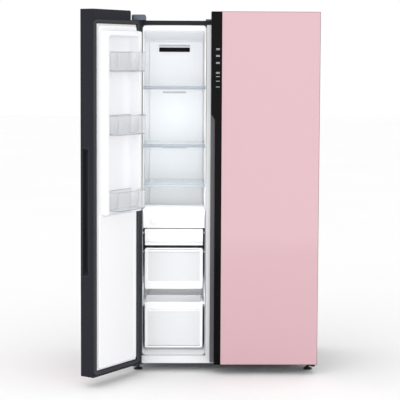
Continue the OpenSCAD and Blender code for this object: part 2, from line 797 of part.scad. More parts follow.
// Drawer with a thick front and side flanges that run on the liner's rails
module drawer(z, h, d, t) {
  x0 = fz_mid - drawer_w / 2;
  flange_z = h - flange_drop + play;
  translate([x0, drawer_y, z]) {
    difference() {
      union() {
        cube([drawer_w, drawer_front_t, h]);
        translate([0, drawer_front_t - 1, 0]) cube([drawer_w, d - drawer_front_t + 1, h - 12]);
      }
      translate([t, drawer_front_t, t]) cube([drawer_w - 2 * t, d - drawer_front_t - t, h]);
      translate([drawer_w / 2 - 70, -eps, h - 26]) cube([140, 6 + eps, 14]);
    }
    translate([-flange_w, drawer_front_t + 12, flange_z]) cube([flange_w, d - drawer_front_t - 12, 3]);
    translate([drawer_w, drawer_front_t + 12, flange_z]) cube([flange_w, d - drawer_front_t - 12, 3]);
  }
}

module ice_bucket() { color("#fbfbfb") drawer(bucket_z, bucket_h, deep_drawer_d, drawer_t); }
module freezer_drawer_upper() {
  color("#e9edf1", 0.8) drawer(upper_drawer_z, upper_drawer_h, deep_drawer_d, drawer_t);
}
module freezer_drawer_lower() {
  color("#e9edf1", 0.8) drawer(lower_drawer_z, lower_drawer_h, lower_drawer_d, drawer_t);
}

// ---------- Feet and rollers ----------

module levelling_foot(side) {
  color("#303236") translate([side * foot_x, foot_y, 0]) {
    cylinder(r = foot_r, h = foot_pad_h - 3);
    translate([0, 0, foot_pad_h - 3]) cylinder(r = foot_r - 4, h = 3);
    translate([0, 0, foot_pad_h]) cylinder(r = 10, h = 8, $fn = 6);
    translate([0, 0, foot_pad_h]) cylinder(r = foot_stem_r, h = cabinet_bottom - foot_pad_h);
  }
}

module rear_roller(side) {
  color("#1c1d1f") translate([side * roller_x - roller_w / 2, roller_y, roller_r]) rotate([0, 90, 0])
    difference() {
      cylinder(r = roller_r, h = roller_w);
      translate([0, 0, -eps]) cylinder(r = axle_r + run_gap, h = roller_w + 2 * eps);
    }
}

// ---------- Doors ----------

// Frame of a door: side walls, back border, hinge notch and hinge bushes
module door_frame(w, s0, s1) {
  t = frame_t;
  difference() {
    union() {
      difference() {
        block([0, glass_t, door_bottom], [w, door_t, overall_h]);
        block([-eps, glass_t + notch_skin, notch_floor], [notch_w, door_t + eps, overall_h + eps]);
        difference() {
          block([t, glass_t - eps, door_bottom + t], [w - t, door_t - t, overall_h - t]);
          block([-eps, glass_t - 2 * eps, notch_floor - t], [notch_w + t, door_t + eps, overall_h + eps]);
        }
        block([s0, door_t - t - eps, open_z0], [s1, door_t + eps, open_z1]);
      }
      for (z = [door_bottom, notch_floor - pin_in - 4]) translate([hinge_side, hinge_back, z])
        cylinder(r = bush_r, h = pin_in + 4);
    }
    for (z = [door_bottom - eps, notch_floor - pin_in - 2]) translate([hinge_side, hinge_back, z])
      cylinder(r = pin_r + run_gap, h = pin_in + 2 + eps);
  }
}

// Outer form of a door liner, before the recess is cut; g shrinks it, over lengthens it to the front
module liner_form(s0, s1, dike_z, g, over) {
  a = s0 + pad_gap;
  b = s1 - pad_gap;
  v = recess_v - frame_t - over;
  block([a + g, v, open_z0 + pad_gap + g],
        [b - g, door_t + pad_h - g, open_z1 - pad_gap - g]);
  block([a + dike_in + g, v, dike_z + g],
        [b - dike_in - g, door_t + dike_h - g, dike_top - g]);
}

// Space between the dikes; g grows it
module liner_recess(s0, s1, dike_z, g) {
  d = pad_gap + dike_in + dike_w;
  block([s0 + d - g, recess_v - g, dike_z - g], [s1 - d + g, door_t + dike_h + eps, dike_top - dike_w + g]);
}

module door_liner(s0, s1, dike_z, bins) {
  d = pad_gap + dike_in + dike_w;
  difference() {
    union() {
      liner_form(s0, s1, dike_z, 0, 0);
      block([s0, door_t - frame_t, open_z0], [s1, door_t, open_z1]);
    }
    liner_recess(s0, s1, dike_z, 0);
    difference() {
      liner_form(s0, s1, dike_z, liner_t, eps);
      liner_recess(s0, s1, dike_z, liner_t);
    }
  }
  for (z = bins) {
    block([s0 + d - 1, recess_v, z - 8], [s0 + d + 8, door_t + dike_h - 6, z - 1]);
    block([s1 - d - 8, recess_v, z - 8], [s1 - d + 1, door_t + dike_h - 6, z - 1]);
  }
}

// Insulation of a door, drawn as slabs with a hairline seam; edge_s is where the handle begins
module door_foam(s0, s1, dike_z, edge_s) {
  t = frame_t;
  a = s0 + pad_gap + liner_t;
  b = s1 - pad_gap - liner_t;
  v0 = glass_t;
  v1 = recess_v - liner_t;
  v2 = door_t + pad_h - liner_t;
  v3 = door_t + dike_h - liner_t;
  hub = hinge_side + bush_r + 2;
  z0 = door_bottom + t;
  z1 = z0 + pin_in + 4;
  z3 = notch_floor - t;
  z2 = z3 - pin_in - 2;
  dw = dike_w - 2 * liner_t;
  slab([t, v0, z1], [edge_s, v1, z2]);
  slab([hub, v0, z0], [edge_s, v1, z1]);
  slab([hub, v0, z2], [edge_s, v1, z3]);
  slab([notch_w + t, v0, z3], [edge_s, v1, overall_h - t]);
  slab([a, v1, open_z0 + pad_gap + liner_t], [b, v2, dike_z - liner_t]);
  for (x = [[a, a + dike_in + dw], [b - dike_in - dw, b]])
    slab([x[0], v1, dike_z - liner_t], [x[1], v2, open_z1 - pad_gap - liner_t]);
  slab([a + dike_in + dw, v1, dike_top - dike_w + liner_t],
        [b - dike_in - dw, v2, open_z1 - pad_gap - liner_t]);
  for (x = [a + dike_in, b - dike_in - dw])
    slab([x, v2, dike_z + liner_t], [x + dw, v3, dike_top - liner_t]);
  slab([a + dike_in + dw, v2, dike_top - dike_w + liner_t], [b - dike_in - dw, v3, dike_top - liner_t]);
}

module door_gasket(s0, s1) {
  lo = 2;
  hi = lo + gasket_w;
  difference() {
    block([s0 - hi, door_t, open_z0 - hi], [s1 + hi, door_t + gasket_t, open_z1 + hi]);
    block([s0 - lo, door_t - eps, open_z0 - lo], [s1 + lo, door_t + gasket_t + eps, open_z1 + lo]);
  }
}

// Door bin: an open box with a low front rail
module door_bin(s0, s1, z) {
  d = pad_gap + dike_in + dike_w + 1;
  translate([s0 + d, door_t, z]) tub(s1 - s0 - 2 * d, bin_d, bin_h, bin_t);
}

module freezer_door_glass() {
  color("#e8c0c8") on_freezer_door() block([0, 0, door_bottom], [freezer_door_w, glass_t, overall_h]);
}

module freezer_door_frame() {
  w = freezer_door_w;
  color("#2a2c34") on_freezer_door() difference() {
    door_frame(w, fz_s0, fz_s1);
    block([w - frame_t - eps, pocket_v - pocket_wall, pocket_z0 - pocket_wall],
          [w + eps, pocket_v + pocket_w + pocket_wall, pocket_z1 + pocket_wall]);
  }
}

module freezer_door_foam() {
  t = frame_t;
  w = freezer_door_w;
  e = w - pocket_outer;
  v1 = recess_v - liner_t;
  pv0 = pocket_v - pocket_wall;
  pv1 = pocket_v + pocket_w + pocket_wall;
  pz0 = pocket_z0 - pocket_wall;
  pz1 = pocket_z1 + pocket_wall;
  color("#e8dfa8") on_freezer_door() {
    door_foam(fz_s0, fz_s1, fz_dike_z, e);
    slab([e, glass_t, door_bottom + t], [w - t, v1, pz0]);
    slab([e, glass_t, pz1], [w - t, v1, overall_h - t]);
    slab([e, glass_t, pz0], [w - t, pv0, pz1]);
    slab([e, pv1, pz0], [w - t, v1, pz1]);
  }
}

module freezer_door_liner() {
  color("#f7f8fa") on_freezer_door() door_liner(fz_s0, fz_s1, fz_dike_z, fz_bin_z);
}

module freezer_door_gasket() { color("#34373d") on_freezer_door() door_gasket(fz_s0, fz_s1); }

// Grey trough of the pocket grip, with sloped ends and a finger groove
module freezer_handle_pocket() {
  w = freezer_door_w;
  p = pocket_wall;
  color("#8b8f96") on_freezer_door() difference() {
    block([w - pocket_outer, pocket_v - p, pocket_z0 - p], [w, pocket_v + pocket_w + p, pocket_z1 + p]);
    along_y(pocket_v, pocket_v + pocket_w, [
      [w + eps, pocket_z0 - eps * pocket_slope / pocket_d], [w - pocket_d, pocket_z0 + pocket_slope],
      [w - pocket_d, pocket_z1 - pocket_slope], [w + eps, pocket_z1 + eps * pocket_slope / pocket_d]
    ]);
    block([w - pocket_d - groove_d, pocket_v + 12, pocket_z0 + 2 * pocket_slope],
          [w - pocket_d + eps, pocket_v + pocket_w - 10, pocket_z1 - 2 * pocket_slope]);
  }
}

module freezer_bin(i) { color("#dfe9ee", 0.5) on_freezer_door() door_bin(fz_s0, fz_s1, fz_bin_z[i]); }

module fridge_door_glass() {
  color("#e8c0c8") on_fridge_door() block([0, 0, door_bottom], [strip_s, glass_t, overall_h]);
}

module fridge_door_frame() {
  w = fridge_door_w;
  color("#2a2c34") on_fridge_door() difference() {
    door_frame(w, fr_s0, fr_s1);
    block([channel_s, glass_t - eps, door_bottom - eps],
          [w + eps, glass_t + channel_d + channel_t, channel_top + channel_t]);
  }
}

module fridge_door_foam() {
  t = frame_t;
  w = fridge_door_w;
  v1 = recess_v - liner_t;
  cz = channel_top + channel_t;
  color("#e8dfa8") on_fridge_door() {
    door_foam(fr_s0, fr_s1, fr_dike_z, channel_s);
    slab([channel_s, glass_t + channel_d + channel_t, door_bottom + t], [w - t, v1, cz]);
    slab([channel_s, glass_t, cz], [w - t, v1, overall_h - t]);
  }
}

module fridge_door_liner() {
  color("#f7f8fa") on_fridge_door() door_liner(fr_s0, fr_s1, fr_dike_z, fr_bin_z);
}

module fridge_door_gasket() { color("#34373d") on_fridge_door() door_gasket(fr_s0, fr_s1); }

// Dark touch panel: the strip above the grip channel, cut at a slant below
module control_panel() {
  w = fridge_door_w;
  color("#0c0c0d") on_fridge_door() along_y(0, glass_t, [
    [strip_s, channel_top - channel_slope], [w - channel_w, channel_top - channel_slope],
    [w, channel_top], [w, overall_h], [strip_s, overall_h]
  ]);
}

module handle_strip() {
  color("#0c0c0d") on_fridge_door()
    block([strip_s, 0, door_bottom], [fridge_door_w - channel_w, glass_t, channel_top - channel_slope]);
}

// Grey lining of the grip channel, open in front, at the side and below
module handle_channel() {
  w = fridge_door_w;
  t = channel_t;
  color("#5f5c5e") on_fridge_door() difference() {
    block([channel_s, glass_t, door_bottom], [w, glass_t + channel_d + t, channel_top + t]);
    along_y(glass_t - eps, glass_t + channel_d, [
      [channel_s + t, door_bottom - eps], [w + eps, door_bottom - eps], [w + eps, channel_top],
      [w, channel_top], [w - channel_w, channel_top - channel_slope],
      [channel_s + t, channel_top - channel_slope]
    ]);
  }
}

module fridge_bins() {
  color("#dfe9ee", 0.5) on_fridge_door() for (z = fr_bin_z) door_bin(fr_s0, fr_s1, z);
}

placed() cabinet_shell();
placed() back_plate();
placed() base_tray();
placed() cabinet_foam();
placed() freezer_liner();
placed() fridge_liner();
placed() mullion_trim();
placed() front_rail();
placed() top_hinges();
placed() bottom_hinges();
placed() hinge_covers();
placed() freezer_duct_cover();
placed() vent_bezel();
placed() fridge_duct_cover();
placed() evaporator();
placed() fan_motors();
placed() compressor();
placed() condenser();
placed() drain_pan();
placed() rear_cover();
placed() mains_inlet();
placed() freezer_shelf(0);  // freezer_shelf_1
placed() freezer_shelf(1);  // freezer_shelf_2
placed() freezer_shelf(2);  // freezer_shelf_3
placed() fridge_shelves();
placed() shelf_trims();
placed() crisper_upper();
placed() crisper_lower();
placed() ice_maker_housing();
placed() levelling_foot(-1);  // levelling_foot_left
placed() levelling_foot(1);  // levelling_foot_right
placed() rear_roller(-1);  // rear_roller_left
placed() rear_roller(1);  // rear_roller_right
placed() evaporator_fan();
placed() condenser_fan();
placed() ice_knob(-1);  // ice_knob_left
placed() ice_knob(1);  // ice_knob_right
placed() ice_tray(-1);  // ice_tray_left
placed() ice_tray(1);  // ice_tray_right
placed() ice_bucket();
placed() freezer_drawer_upper();
placed() freezer_drawer_lower();
placed() freezer_door_glass();
placed() freezer_door_frame();
placed() freezer_door_foam();
placed() freezer_door_liner();
placed() freezer_door_gasket();
placed() freezer_handle_pocket();
placed() freezer_bin(0);  // freezer_bin_1
placed() freezer_bin(1);  // freezer_bin_2
placed() freezer_bin(2);  // freezer_bin_3
placed() fridge_door_glass();
placed() fridge_door_frame();
placed() fridge_door_foam();
placed() fridge_door_liner();
placed() fridge_door_gasket();
placed() control_panel();
placed() handle_strip();
placed() handle_channel();
placed() fridge_bins();
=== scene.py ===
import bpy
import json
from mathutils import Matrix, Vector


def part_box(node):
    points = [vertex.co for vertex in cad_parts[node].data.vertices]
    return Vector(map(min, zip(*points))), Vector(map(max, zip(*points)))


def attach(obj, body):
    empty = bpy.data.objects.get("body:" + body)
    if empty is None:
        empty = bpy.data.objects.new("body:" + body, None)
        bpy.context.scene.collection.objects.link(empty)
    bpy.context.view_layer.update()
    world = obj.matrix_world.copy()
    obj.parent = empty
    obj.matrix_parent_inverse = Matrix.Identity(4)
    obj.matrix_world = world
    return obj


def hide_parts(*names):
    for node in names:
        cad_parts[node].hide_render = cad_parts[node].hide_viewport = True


bl_info = {
    "name": "Side by side refrigerator",
    "version": (1, 0, 0),
    "blender": (4, 5, 0),
    "location": "View3D > Sidebar > Refrigerator",
    "description": "Finished surfaces of a side by side refrigerator, set on its packed frame",
    "category": "Add Mesh",
}

import json
import math

import bpy
import numpy as np
from mathutils import Matrix, Vector

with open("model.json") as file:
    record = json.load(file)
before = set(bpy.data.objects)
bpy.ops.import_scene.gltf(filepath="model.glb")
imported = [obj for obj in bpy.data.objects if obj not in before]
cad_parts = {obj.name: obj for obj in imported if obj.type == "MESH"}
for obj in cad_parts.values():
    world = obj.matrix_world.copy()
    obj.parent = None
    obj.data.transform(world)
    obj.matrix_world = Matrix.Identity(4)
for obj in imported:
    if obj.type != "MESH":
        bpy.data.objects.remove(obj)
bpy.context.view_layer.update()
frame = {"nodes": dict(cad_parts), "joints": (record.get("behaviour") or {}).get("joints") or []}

# Everything below is in millimetres from the middle of the closed cabinet:
# x to the right, y to the back, z up.
SHELL_BOX = [np.array(c) * 1000 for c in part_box("cabinet_shell")]
GLASS_BOX = [np.array(c) * 1000 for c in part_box("fridge_door_glass")]
MIDDLE = np.array([(SHELL_BOX[0][0] + SHELL_BOX[1][0]) / 2, (GLASS_BOX[0][1] + SHELL_BOX[1][1]) / 2, 0.0])


def ends(node):
    """Lowest and highest corner of a CAD node, in millimetres from the cabinet's middle."""
    lo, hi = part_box(node)
    return np.array(lo) * 1000 - MIDDLE, np.array(hi) * 1000 - MIDDLE


SHELL_LO, SHELL_HI = ends("cabinet_shell")
HALF_W = SHELL_HI[0]
CAB_Y = SHELL_LO[1]  # front plane of the cabinet
BACK_Y = SHELL_HI[1]
TOP_Z = SHELL_HI[2]
BASE_Z = SHELL_LO[2]
DOOR_LO, DOOR_HI = ends("fridge_door_frame")
FRONT_Y = ends("fridge_door_glass")[0][1]
DOOR_T = DOOR_HI[1] - FRONT_Y
GLASS_T = DOOR_LO[1] - FRONT_Y
DOOR_Z0, DOOR_Z1 = DOOR_LO[2], DOOR_HI[2]
FRIDGE_DOOR_W = DOOR_HI[0] - DOOR_LO[0]
DOOR_GAP = 4.0  # between the two doors
FREEZER_DOOR_W = 2 * HALF_W - FRIDGE_DOOR_W - DOOR_GAP
WALL = 2.0  # sheet of the liners
FZ_LO, FZ_HI = ends("freezer_liner")
FR_LO, FR_HI = ends("fridge_liner")
FZ_X = (FZ_LO[0] + WALL, FZ_HI[0] - WALL)
FR_X = (FR_LO[0] + WALL, FR_HI[0] - WALL)
FZ_MID = sum(FZ_X) / 2
OPEN_Z = (FZ_LO[2] + WALL, FZ_HI[2] - WALL)  # the opening at the front
LINER_BACK = FZ_HI[1] - WALL
STEP_Z = ends("freezer_duct_cover")[0][2] - 1  # top of the step over the machine bay
CEILING_Z = ends("freezer_duct_cover")[1][2] + 1
FLOOR_Z = ends("freezer_drawer_lower")[0][2] - 4
STEP_Y = ends("freezer_drawer_lower")[1][1] + 8  # front of that step
FREEZER_HINGE = next(j for j in frame["joints"] if j["name"] == "freezer_door_hinge")
OPEN_ANGLE = math.radians(-FREEZER_HINGE["range_deg"][0])
PIN = np.array(FREEZER_HINGE["pos_m"]) * 1000 - MIDDLE


# ---------- Places ----------


def on_cabinet(p):
    """Leaves a point where it is."""
    return p


def on_freezer_door(p):
    """Door point (s from the hinge side, v from the front, z up) to its place on the open freezer door: a
    turn by the opening angle about the pin."""
    x = p[..., 0] - HALF_W - PIN[0]
    y = p[..., 1] + FRONT_Y - PIN[1]
    c, s = math.cos(OPEN_ANGLE), math.sin(OPEN_ANGLE)
    return np.stack([PIN[0] + c * x + s * y, PIN[1] - s * x + c * y, p[..., 2]], -1)


def on_fridge_door(p):
    """Door point (s from the hinge side, v from the front, z up) to its place on the closed refrigerator
    door."""
    return np.stack([HALF_W - p[..., 0], FRONT_Y + p[..., 1], p[..., 2]], -1)


# ---------- Surfaces ----------


def outline(corners, radius, steps=6):
    """Closed outline of a polygon whose corners are arcs, and its outward normals. At a corner C between
    unit directions a and b that turn by phi, the arc starts t = r tan(phi / 2) before C; its points are C
    - a t + r n - r (n cos u - a sin u), with n the normal on the side it turns to and u from 0 to phi."""
    c = np.array(corners, float)
    r = np.broadcast_to(np.array(radius, float), (len(c),))[:, None, None]
    a = c - np.roll(c, 1, 0)
    b = np.roll(c, -1, 0) - c
    a /= np.linalg.norm(a, axis=1, keepdims=True)
    b /= np.linalg.norm(b, axis=1, keepdims=True)
    turn = np.arctan2(a[:, 0] * b[:, 1] - a[:, 1] * b[:, 0], (a * b).sum(1))
    side = np.where(turn < 0, -1.0, 1.0)
    n = np.stack([-a[:, 1], a[:, 0]], 1) * side[:, None]
    u = (np.abs(turn)[:, None] * np.linspace(0, 1, steps))[..., None]
    w = -n[:, None] * np.cos(u) + a[:, None] * np.sin(u)
    t = r * np.tan(np.abs(turn) / 2)[:, None, None]
    p = c[:, None] - a[:, None] * t + n[:, None] * r + r * w
    return p.reshape(-1, 2), (w * side[:, None, None]).reshape(-1, 2)


def rectangle(x0, x1, y0, y1):
    return [(x0, y0), (x1, y0), (x1, y1), (x0, y1)]


def carried(shape, profile, axis="z"):
    """Rings of an outline carried along an axis: ring i is the outline moved inwards by e_i, at height
    h_i."""
    p, n = shape
    e, h = np.array(profile, float).T
    flat = p[None] - e[:, None, None] * n[None]
    high = np.broadcast_to(h[:, None], flat.shape[:2])
    order = {
        "z": (flat[..., 0], flat[..., 1], high),
        "y": (flat[..., 0], high, flat[..., 1]),
        "x": (high, flat[..., 0], flat[..., 1]),
    }
    return np.stack(order[axis], -1)


def edged(h0, h1, r, steps=4):
    """Profile of a block between two heights with quarter round edges: (r (1 - sin u), h0 + r (1 - cos
    u)) and its mirror image."""
    u = np.linspace(0, math.pi / 2, steps)
    e, h = r * (1 - np.sin(u)), r * (1 - np.cos(u))
    return np.concatenate([np.stack([e, h0 + h], 1), np.stack([e[::-1], h1 - h[::-1]], 1)])


def solid(rings):
    """Closed surface through rings, with a face over the first and the last."""
    m, k = rings.shape[:2]
    i = np.arange(m - 1)[:, None] * k
    j = np.arange(k)[None]
    n = (j + 1) % k
    quads = np.stack([i + j, i + n, i + k + n, i + k + j], -1).reshape(-1, 4)
    return rings.reshape(-1, 3), quads.tolist() + [list(range(k))[::-1], list(range((m - 1) * k, m * k))]


def hoop(rings):
    """Closed surface through rings of which the last joins the first."""
    m, k = rings.shape[:2]
    i = np.arange(m)[:, None] * k
    o = (np.arange(m)[:, None] + 1) % m * k
    j = np.arange(k)[None]
    n = (j + 1) % k
    return rings.reshape(-1, 3), np.stack([i + j, i + n, o + n, o + j], -1).reshape(-1, 4).tolist()


def sheet(grid):
    """Open surface through a grid of points."""
    m, k = grid.shape[:2]
    i = np.arange(m - 1)[:, None] * k
    j = np.arange(k - 1)[None]
    return grid.reshape(-1, 3), np.stack(
        [i + j, i + j + 1, i + k + j + 1, i + k + j], -1
    ).reshape(-1, 4).tolist()


def slab(lo, hi, edge, corner=None, axis="z"):
    """Block between two corners: a rectangle with round corners, carried along an axis with round edges."""
    lo, hi = np.array(lo, float), np.array(hi, float)
    a, b, c = {"z": (0, 1, 2), "y": (0, 2, 1), "x": (1, 2, 0)}[axis]
    corner = max(edge, corner or edge)
    return solid(
        carried(outline(rectangle(lo[a], hi[a], lo[b], hi[b]), corner), edged(lo[c], hi[c], edge), axis)
    )


def turned(profile, centre, axis="z", steps=32):
    """Surface of revolution: radius r_i at height h_i, closed over both ends."""
    u = np.arange(steps) / steps * 2 * math.pi
    r, h = np.array(profile, float).T
    x, y = r[:, None] * np.cos(u), r[:, None] * np.sin(u)
    z = np.broadcast_to(h[:, None], x.shape)
    order = {"z": (x, y, z), "y": (x, z, y), "x": (z, x, y)}
    return solid(np.stack(order[axis], -1) + np.array(centre, float))


def tub(lo, hi, wall, corner, draft, lip=0.0, top_round=1.0):
    """Open box with sloping walls: the profile climbs the outside, turns over the rim and goes down the
    inside. At height h the outside is drawn in by draft (1 - h / H)."""
    lo, hi = np.array(lo, float), np.array(hi, float)
    h = hi[2] - lo[2]
    b = min(corner, 8.0)
    u = np.linspace(0, math.pi / 2, 5)
    low = np.stack([draft + b * (1 - np.sin(u)), b * (1 - np.cos(u))], 1)
    rim = np.array(
        [
            [0, h - 8], [-lip, h - 7], [-lip, h - top_round], [top_round - lip, h],
            [wall - top_round * 0.5, h], [wall, h - top_round],
        ]
    )
    inner = low[::-1] * [1, 1] + [wall, wall]
    prof = np.concatenate([low, rim, inner])
    return solid(carried(outline(rectangle(lo[0], hi[0], lo[1], hi[1]), corner + lip), prof + [lip, lo[2]]))


def piece(name, parts, body, look, slot, stands_for=(), place=on_cabinet, sharp=32, thick=0.0, weighted=True):
    """Makes one object from surfaces in millimetres. Closed surfaces whose volume comes out negative are
    turned round."""
    points, faces, start = [], [], 0
    for p, f in parts:
        q = place(np.asarray(p, float))
        if not thick:
            fan = np.array([[g[0], g[i], g[i + 1]] for g in f for i in range(1, len(g) - 1)])
            t = q[fan] - q.mean(0)
            if np.einsum("ij,ij->i", t[:, 0], np.cross(t[:, 1], t[:, 2])).sum() < 0:
                f = [g[::-1] for g in f]
        points.append(q)
        faces += [[start + i for i in g] for g in f]
        start += len(q)
    mesh = bpy.data.meshes.new(name)
    mesh.from_pydata(((np.concatenate(points) + MIDDLE) / 1000).tolist(), [], faces)
    mesh.validate()
    mesh.shade_smooth()
    mesh.set_sharp_from_angle(angle=math.radians(sharp))
    made = bpy.data.objects.new(name, mesh)
    bpy.context.scene.collection.objects.link(made)
    mesh.materials.append(look)
    if thick:
        wall = made.modifiers.new("wall", "SOLIDIFY")
        wall.thickness = thick / 1000
        wall.offset = -1.0
    if weighted:
        made.modifiers.new("shading", "WEIGHTED_NORMAL").keep_sharp = True
    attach(made, body)
    if stands_for:
        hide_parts(*stands_for)
    return made


# ---------- Finishes ----------


def colour(code):
    """sRGB hex to a linear colour: c / 12.92 up to 0.04045, and ((c + 0.055) / 1.055) ** 2.4 above. A
    linear colour is left as it is."""
    if not isinstance(code, str):
        return (*code, 1.0)
    c = np.array([int(code[i : i + 2], 16) for i in (1, 3, 5)]) / 255
    return (*np.where(c <= 0.04045, c / 12.92, ((c + 0.055) / 1.055) ** 2.4).tolist(), 1.0)


def toned(base, share):
    """A linear colour with each part multiplied by share."""
    return tuple(min(1.0, c * share) for c in base)


def add(tree, kind, inputs, **settings):
    """Adds one node, with its settings, its values and its links."""
    made = tree.nodes.new(kind)
    for key, value in settings.items():
        setattr(made, key, value)
    for key, value in inputs.items():
        if isinstance(value, bpy.types.NodeSocket):
            tree.links.new(value, made.inputs[key])
        else:
            made.inputs[key].default_value = value
    return made


def finish(name, dark, light, rough, grain, bump, metallic=0.0, drift=350.0, stretch=(1, 1, 1), **sockets):
    """Material of one finish. Colour drifts between two close tones over `drift` mm, a grain of `grain`
    mm moves the roughness between its two values and lifts the surface by `bump` mm; stretch draws the
    grain out along an axis."""
    if name in bpy.data.materials:
        return bpy.data.materials[name]
    made = bpy.data.materials.new(name)
    made.use_nodes = True
    tree = made.node_tree
    tree.nodes.clear()
    place = add(tree, "ShaderNodeTexCoord", {})
    run = add(tree, "ShaderNodeMapping", {"Vector": place.outputs["Object"], "Scale": stretch})
    wide = add(
        tree,
        "ShaderNodeTexNoise",
        {"Vector": place.outputs["Object"], "Scale": 1000 / drift, "Detail": 3.0, "Roughness": 0.55},
    )
    fine = add(
        tree,
        "ShaderNodeTexNoise",
        {"Vector": run.outputs[0], "Scale": 1000 / grain, "Detail": 4.0, "Roughness": 0.6},
    )
    tone = add(
        tree, "ShaderNodeMix", {0: wide.outputs[0], 6: colour(dark), 7: colour(light)}, data_type="RGBA"
    )
    worn = add(
        tree,
        "ShaderNodeMapRange",
        {"Value": fine.outputs[0], "From Min": 0.3, "From Max": 0.7, "To Min": rough[0], "To Max": rough[1]},
    )
    lift = add(tree, "ShaderNodeBump", {"Height": fine.outputs[0], "Distance": bump / 1000, "Strength": 1.0})
    skin = add(
        tree,
        "ShaderNodeBsdfPrincipled",
        {
            "Base Color": tone.outputs[2], "Roughness": worn.outputs[0], "Normal": lift.outputs[0],
            "Metallic": metallic, **sockets,
        },
    )
    add(tree, "ShaderNodeOutputMaterial", {"Surface": skin.outputs[0]})
    return made


def clear_plastic(name, tint, body_alpha, edge_alpha, rough):
    """Clear moulded plastic: nearly all light goes through face on, and little of it edge on, where the
    wall is seen through its length."""
    made = finish(name, tint, tint, (rough, rough + 0.06), 3.0, 0.01)
    tree = made.node_tree
    skin = next(n for n in tree.nodes if n.type == "BSDF_PRINCIPLED")
    if not skin.inputs["Alpha"].is_linked:
        face = add(tree, "ShaderNodeLayerWeight", {"Blend": 0.35})
        veil = add(
            tree,
            "ShaderNodeMapRange",
            {"Value": face.outputs["Facing"], "To Min": body_alpha, "To Max": edge_alpha},
        )
        tree.links.new(veil.outputs[0], skin.inputs["Alpha"])
    return made


def looks():
    """The finishes, by the name of the real material and how its surface was made."""
    p = bpy.context.scene.refrigerator_finish
    d = {}
    # Toughened glass with a fired-on enamel behind it: even colour, wet gloss, very slight waviness
    d["pink_glass"] = finish(
        "enamelled_toughened_glass", toned(p.glass, 0.985), toned(p.glass, 1.015), (0.05, 0.09), 90,
        0.02, drift=900, IOR=1.52,
    )
    d["black_glass"] = finish(
        "black_enamelled_glass", "#050506", "#08080a", (0.06, 0.11), 60, 0.01,
        **{"Specular IOR Level": 0.06},
    )
    # Pre-painted steel sheet, roller coated: satin, with a fine orange peel
    d["navy_steel"] = finish(
        "coil_coated_navy_steel", toned(p.steel, 0.9), toned(p.steel, 1.12), (0.34, 0.44), 1.6, 0.03,
        **{"Specular IOR Level": 0.16},
    )
    d["white_steel"] = finish("coil_coated_white_steel", "#eef0f2", "#f7f8f9", (0.3, 0.4), 1.6, 0.02)
    # Polystyrene sheet, vacuum formed: white, silky, softly mottled
    d["liner"] = finish(
        "vacuum_formed_polystyrene", toned(p.inside, 0.99), toned(p.inside, 1.01), (0.32, 0.42), 1.2, 0.02
    )
    # ABS, injection moulded in a spark-eroded tool: matt and slightly pebbled
    d["white_abs"] = finish("moulded_white_abs", "#f4f5f6", "#fdfdfd", (0.38, 0.5), 0.9, 0.02)
    d["dark_abs"] = finish("moulded_slate_abs", "#535a65", "#616975", (0.36, 0.5), 0.9, 0.04)
    d["grey_abs"] = finish("moulded_grey_abs", "#56535a", "#646168", (0.3, 0.42), 0.9, 0.03)
    d["pocket_abs"] = finish(
        "moulded_charcoal_abs", "#2b2d33", "#34363d", (0.3, 0.42), 0.9, 0.03, **{"Specular IOR Level": 0.3}
    )
    d["black_abs"] = finish("moulded_black_abs", "#141518", "#1b1c1f", (0.3, 0.45), 0.9, 0.03)
    # Zinc-coated steel: cool grey metal with a faint flow from rolling
    d["zinc"] = finish(
        "galvanised_steel", "#8f9397", "#a9adb1", (0.34, 0.52), 14, 0.02, metallic=1.0, drift=60
    )
    d["black_steel"] = finish("black_enamelled_steel", "#15161a", "#1f2024", (0.35, 0.5), 1.4, 0.03)
    d["aluminium"] = finish(
        "mill_finish_aluminium", "#b9bcc0", "#cfd2d5", (0.28, 0.4), 6, 0.01, metallic=1.0,
        stretch=(0.1, 1, 1),
    )
    # EPDM rubber, extruded: charcoal and dull, with drawn lines
    d["rubber"] = finish("extruded_epdm_rubber", "#26282d", "#30333a", (0.55, 0.7), 1.5, 0.05)
    d["foam"] = finish("foamed_polyurethane", "#e4d9a0", "#efe7b8", (0.8, 0.95), 3.0, 0.4, drift=40)
    # Clear polystyrene, injection moulded
    d["clear"] = clear_plastic("clear_moulded_polystyrene", "#e6eaee", 0.05, 0.6, 0.08)
    # Grey tint of the lines at the foot and rim of the door bins: painted shade where the clear wall is seen
    # edge on
    d["clear_rim"] = clear_plastic("clear_polystyrene_painted_edge_shade", "#868c93", 0.5, 0.95, 0.1)
    d["frosted"] = clear_plastic("frosted_moulded_polystyrene", "#eef0f2", 0.85, 0.98, 0.4)
    d["shelf_glass"] = clear_plastic("float_glass_shelf", "#dbe9ea", 0.1, 0.7, 0.04)
    # Shelf fronts: clear plastic with a satin face
    d["shelf_front"] = clear_plastic("satin_clear_polystyrene", "#9aa1a9", 0.62, 0.95, 0.25)
    # Ink, pad printed: dull light grey
    d["print"] = finish("pad_printed_grey_ink", "#b9bcc2", "#c6c9ce", (0.5, 0.6), 2.0, 0.0)
    # Flat grey in the air slots: painted shade of the dark duct mouth behind each slot
    d["slot_shade"] = finish("shaded_duct_mouth", "#a3a8ae", "#aeb3b9", (0.7, 0.8), 2.0, 0.0)
    return d


# ---------- Cabinet ----------


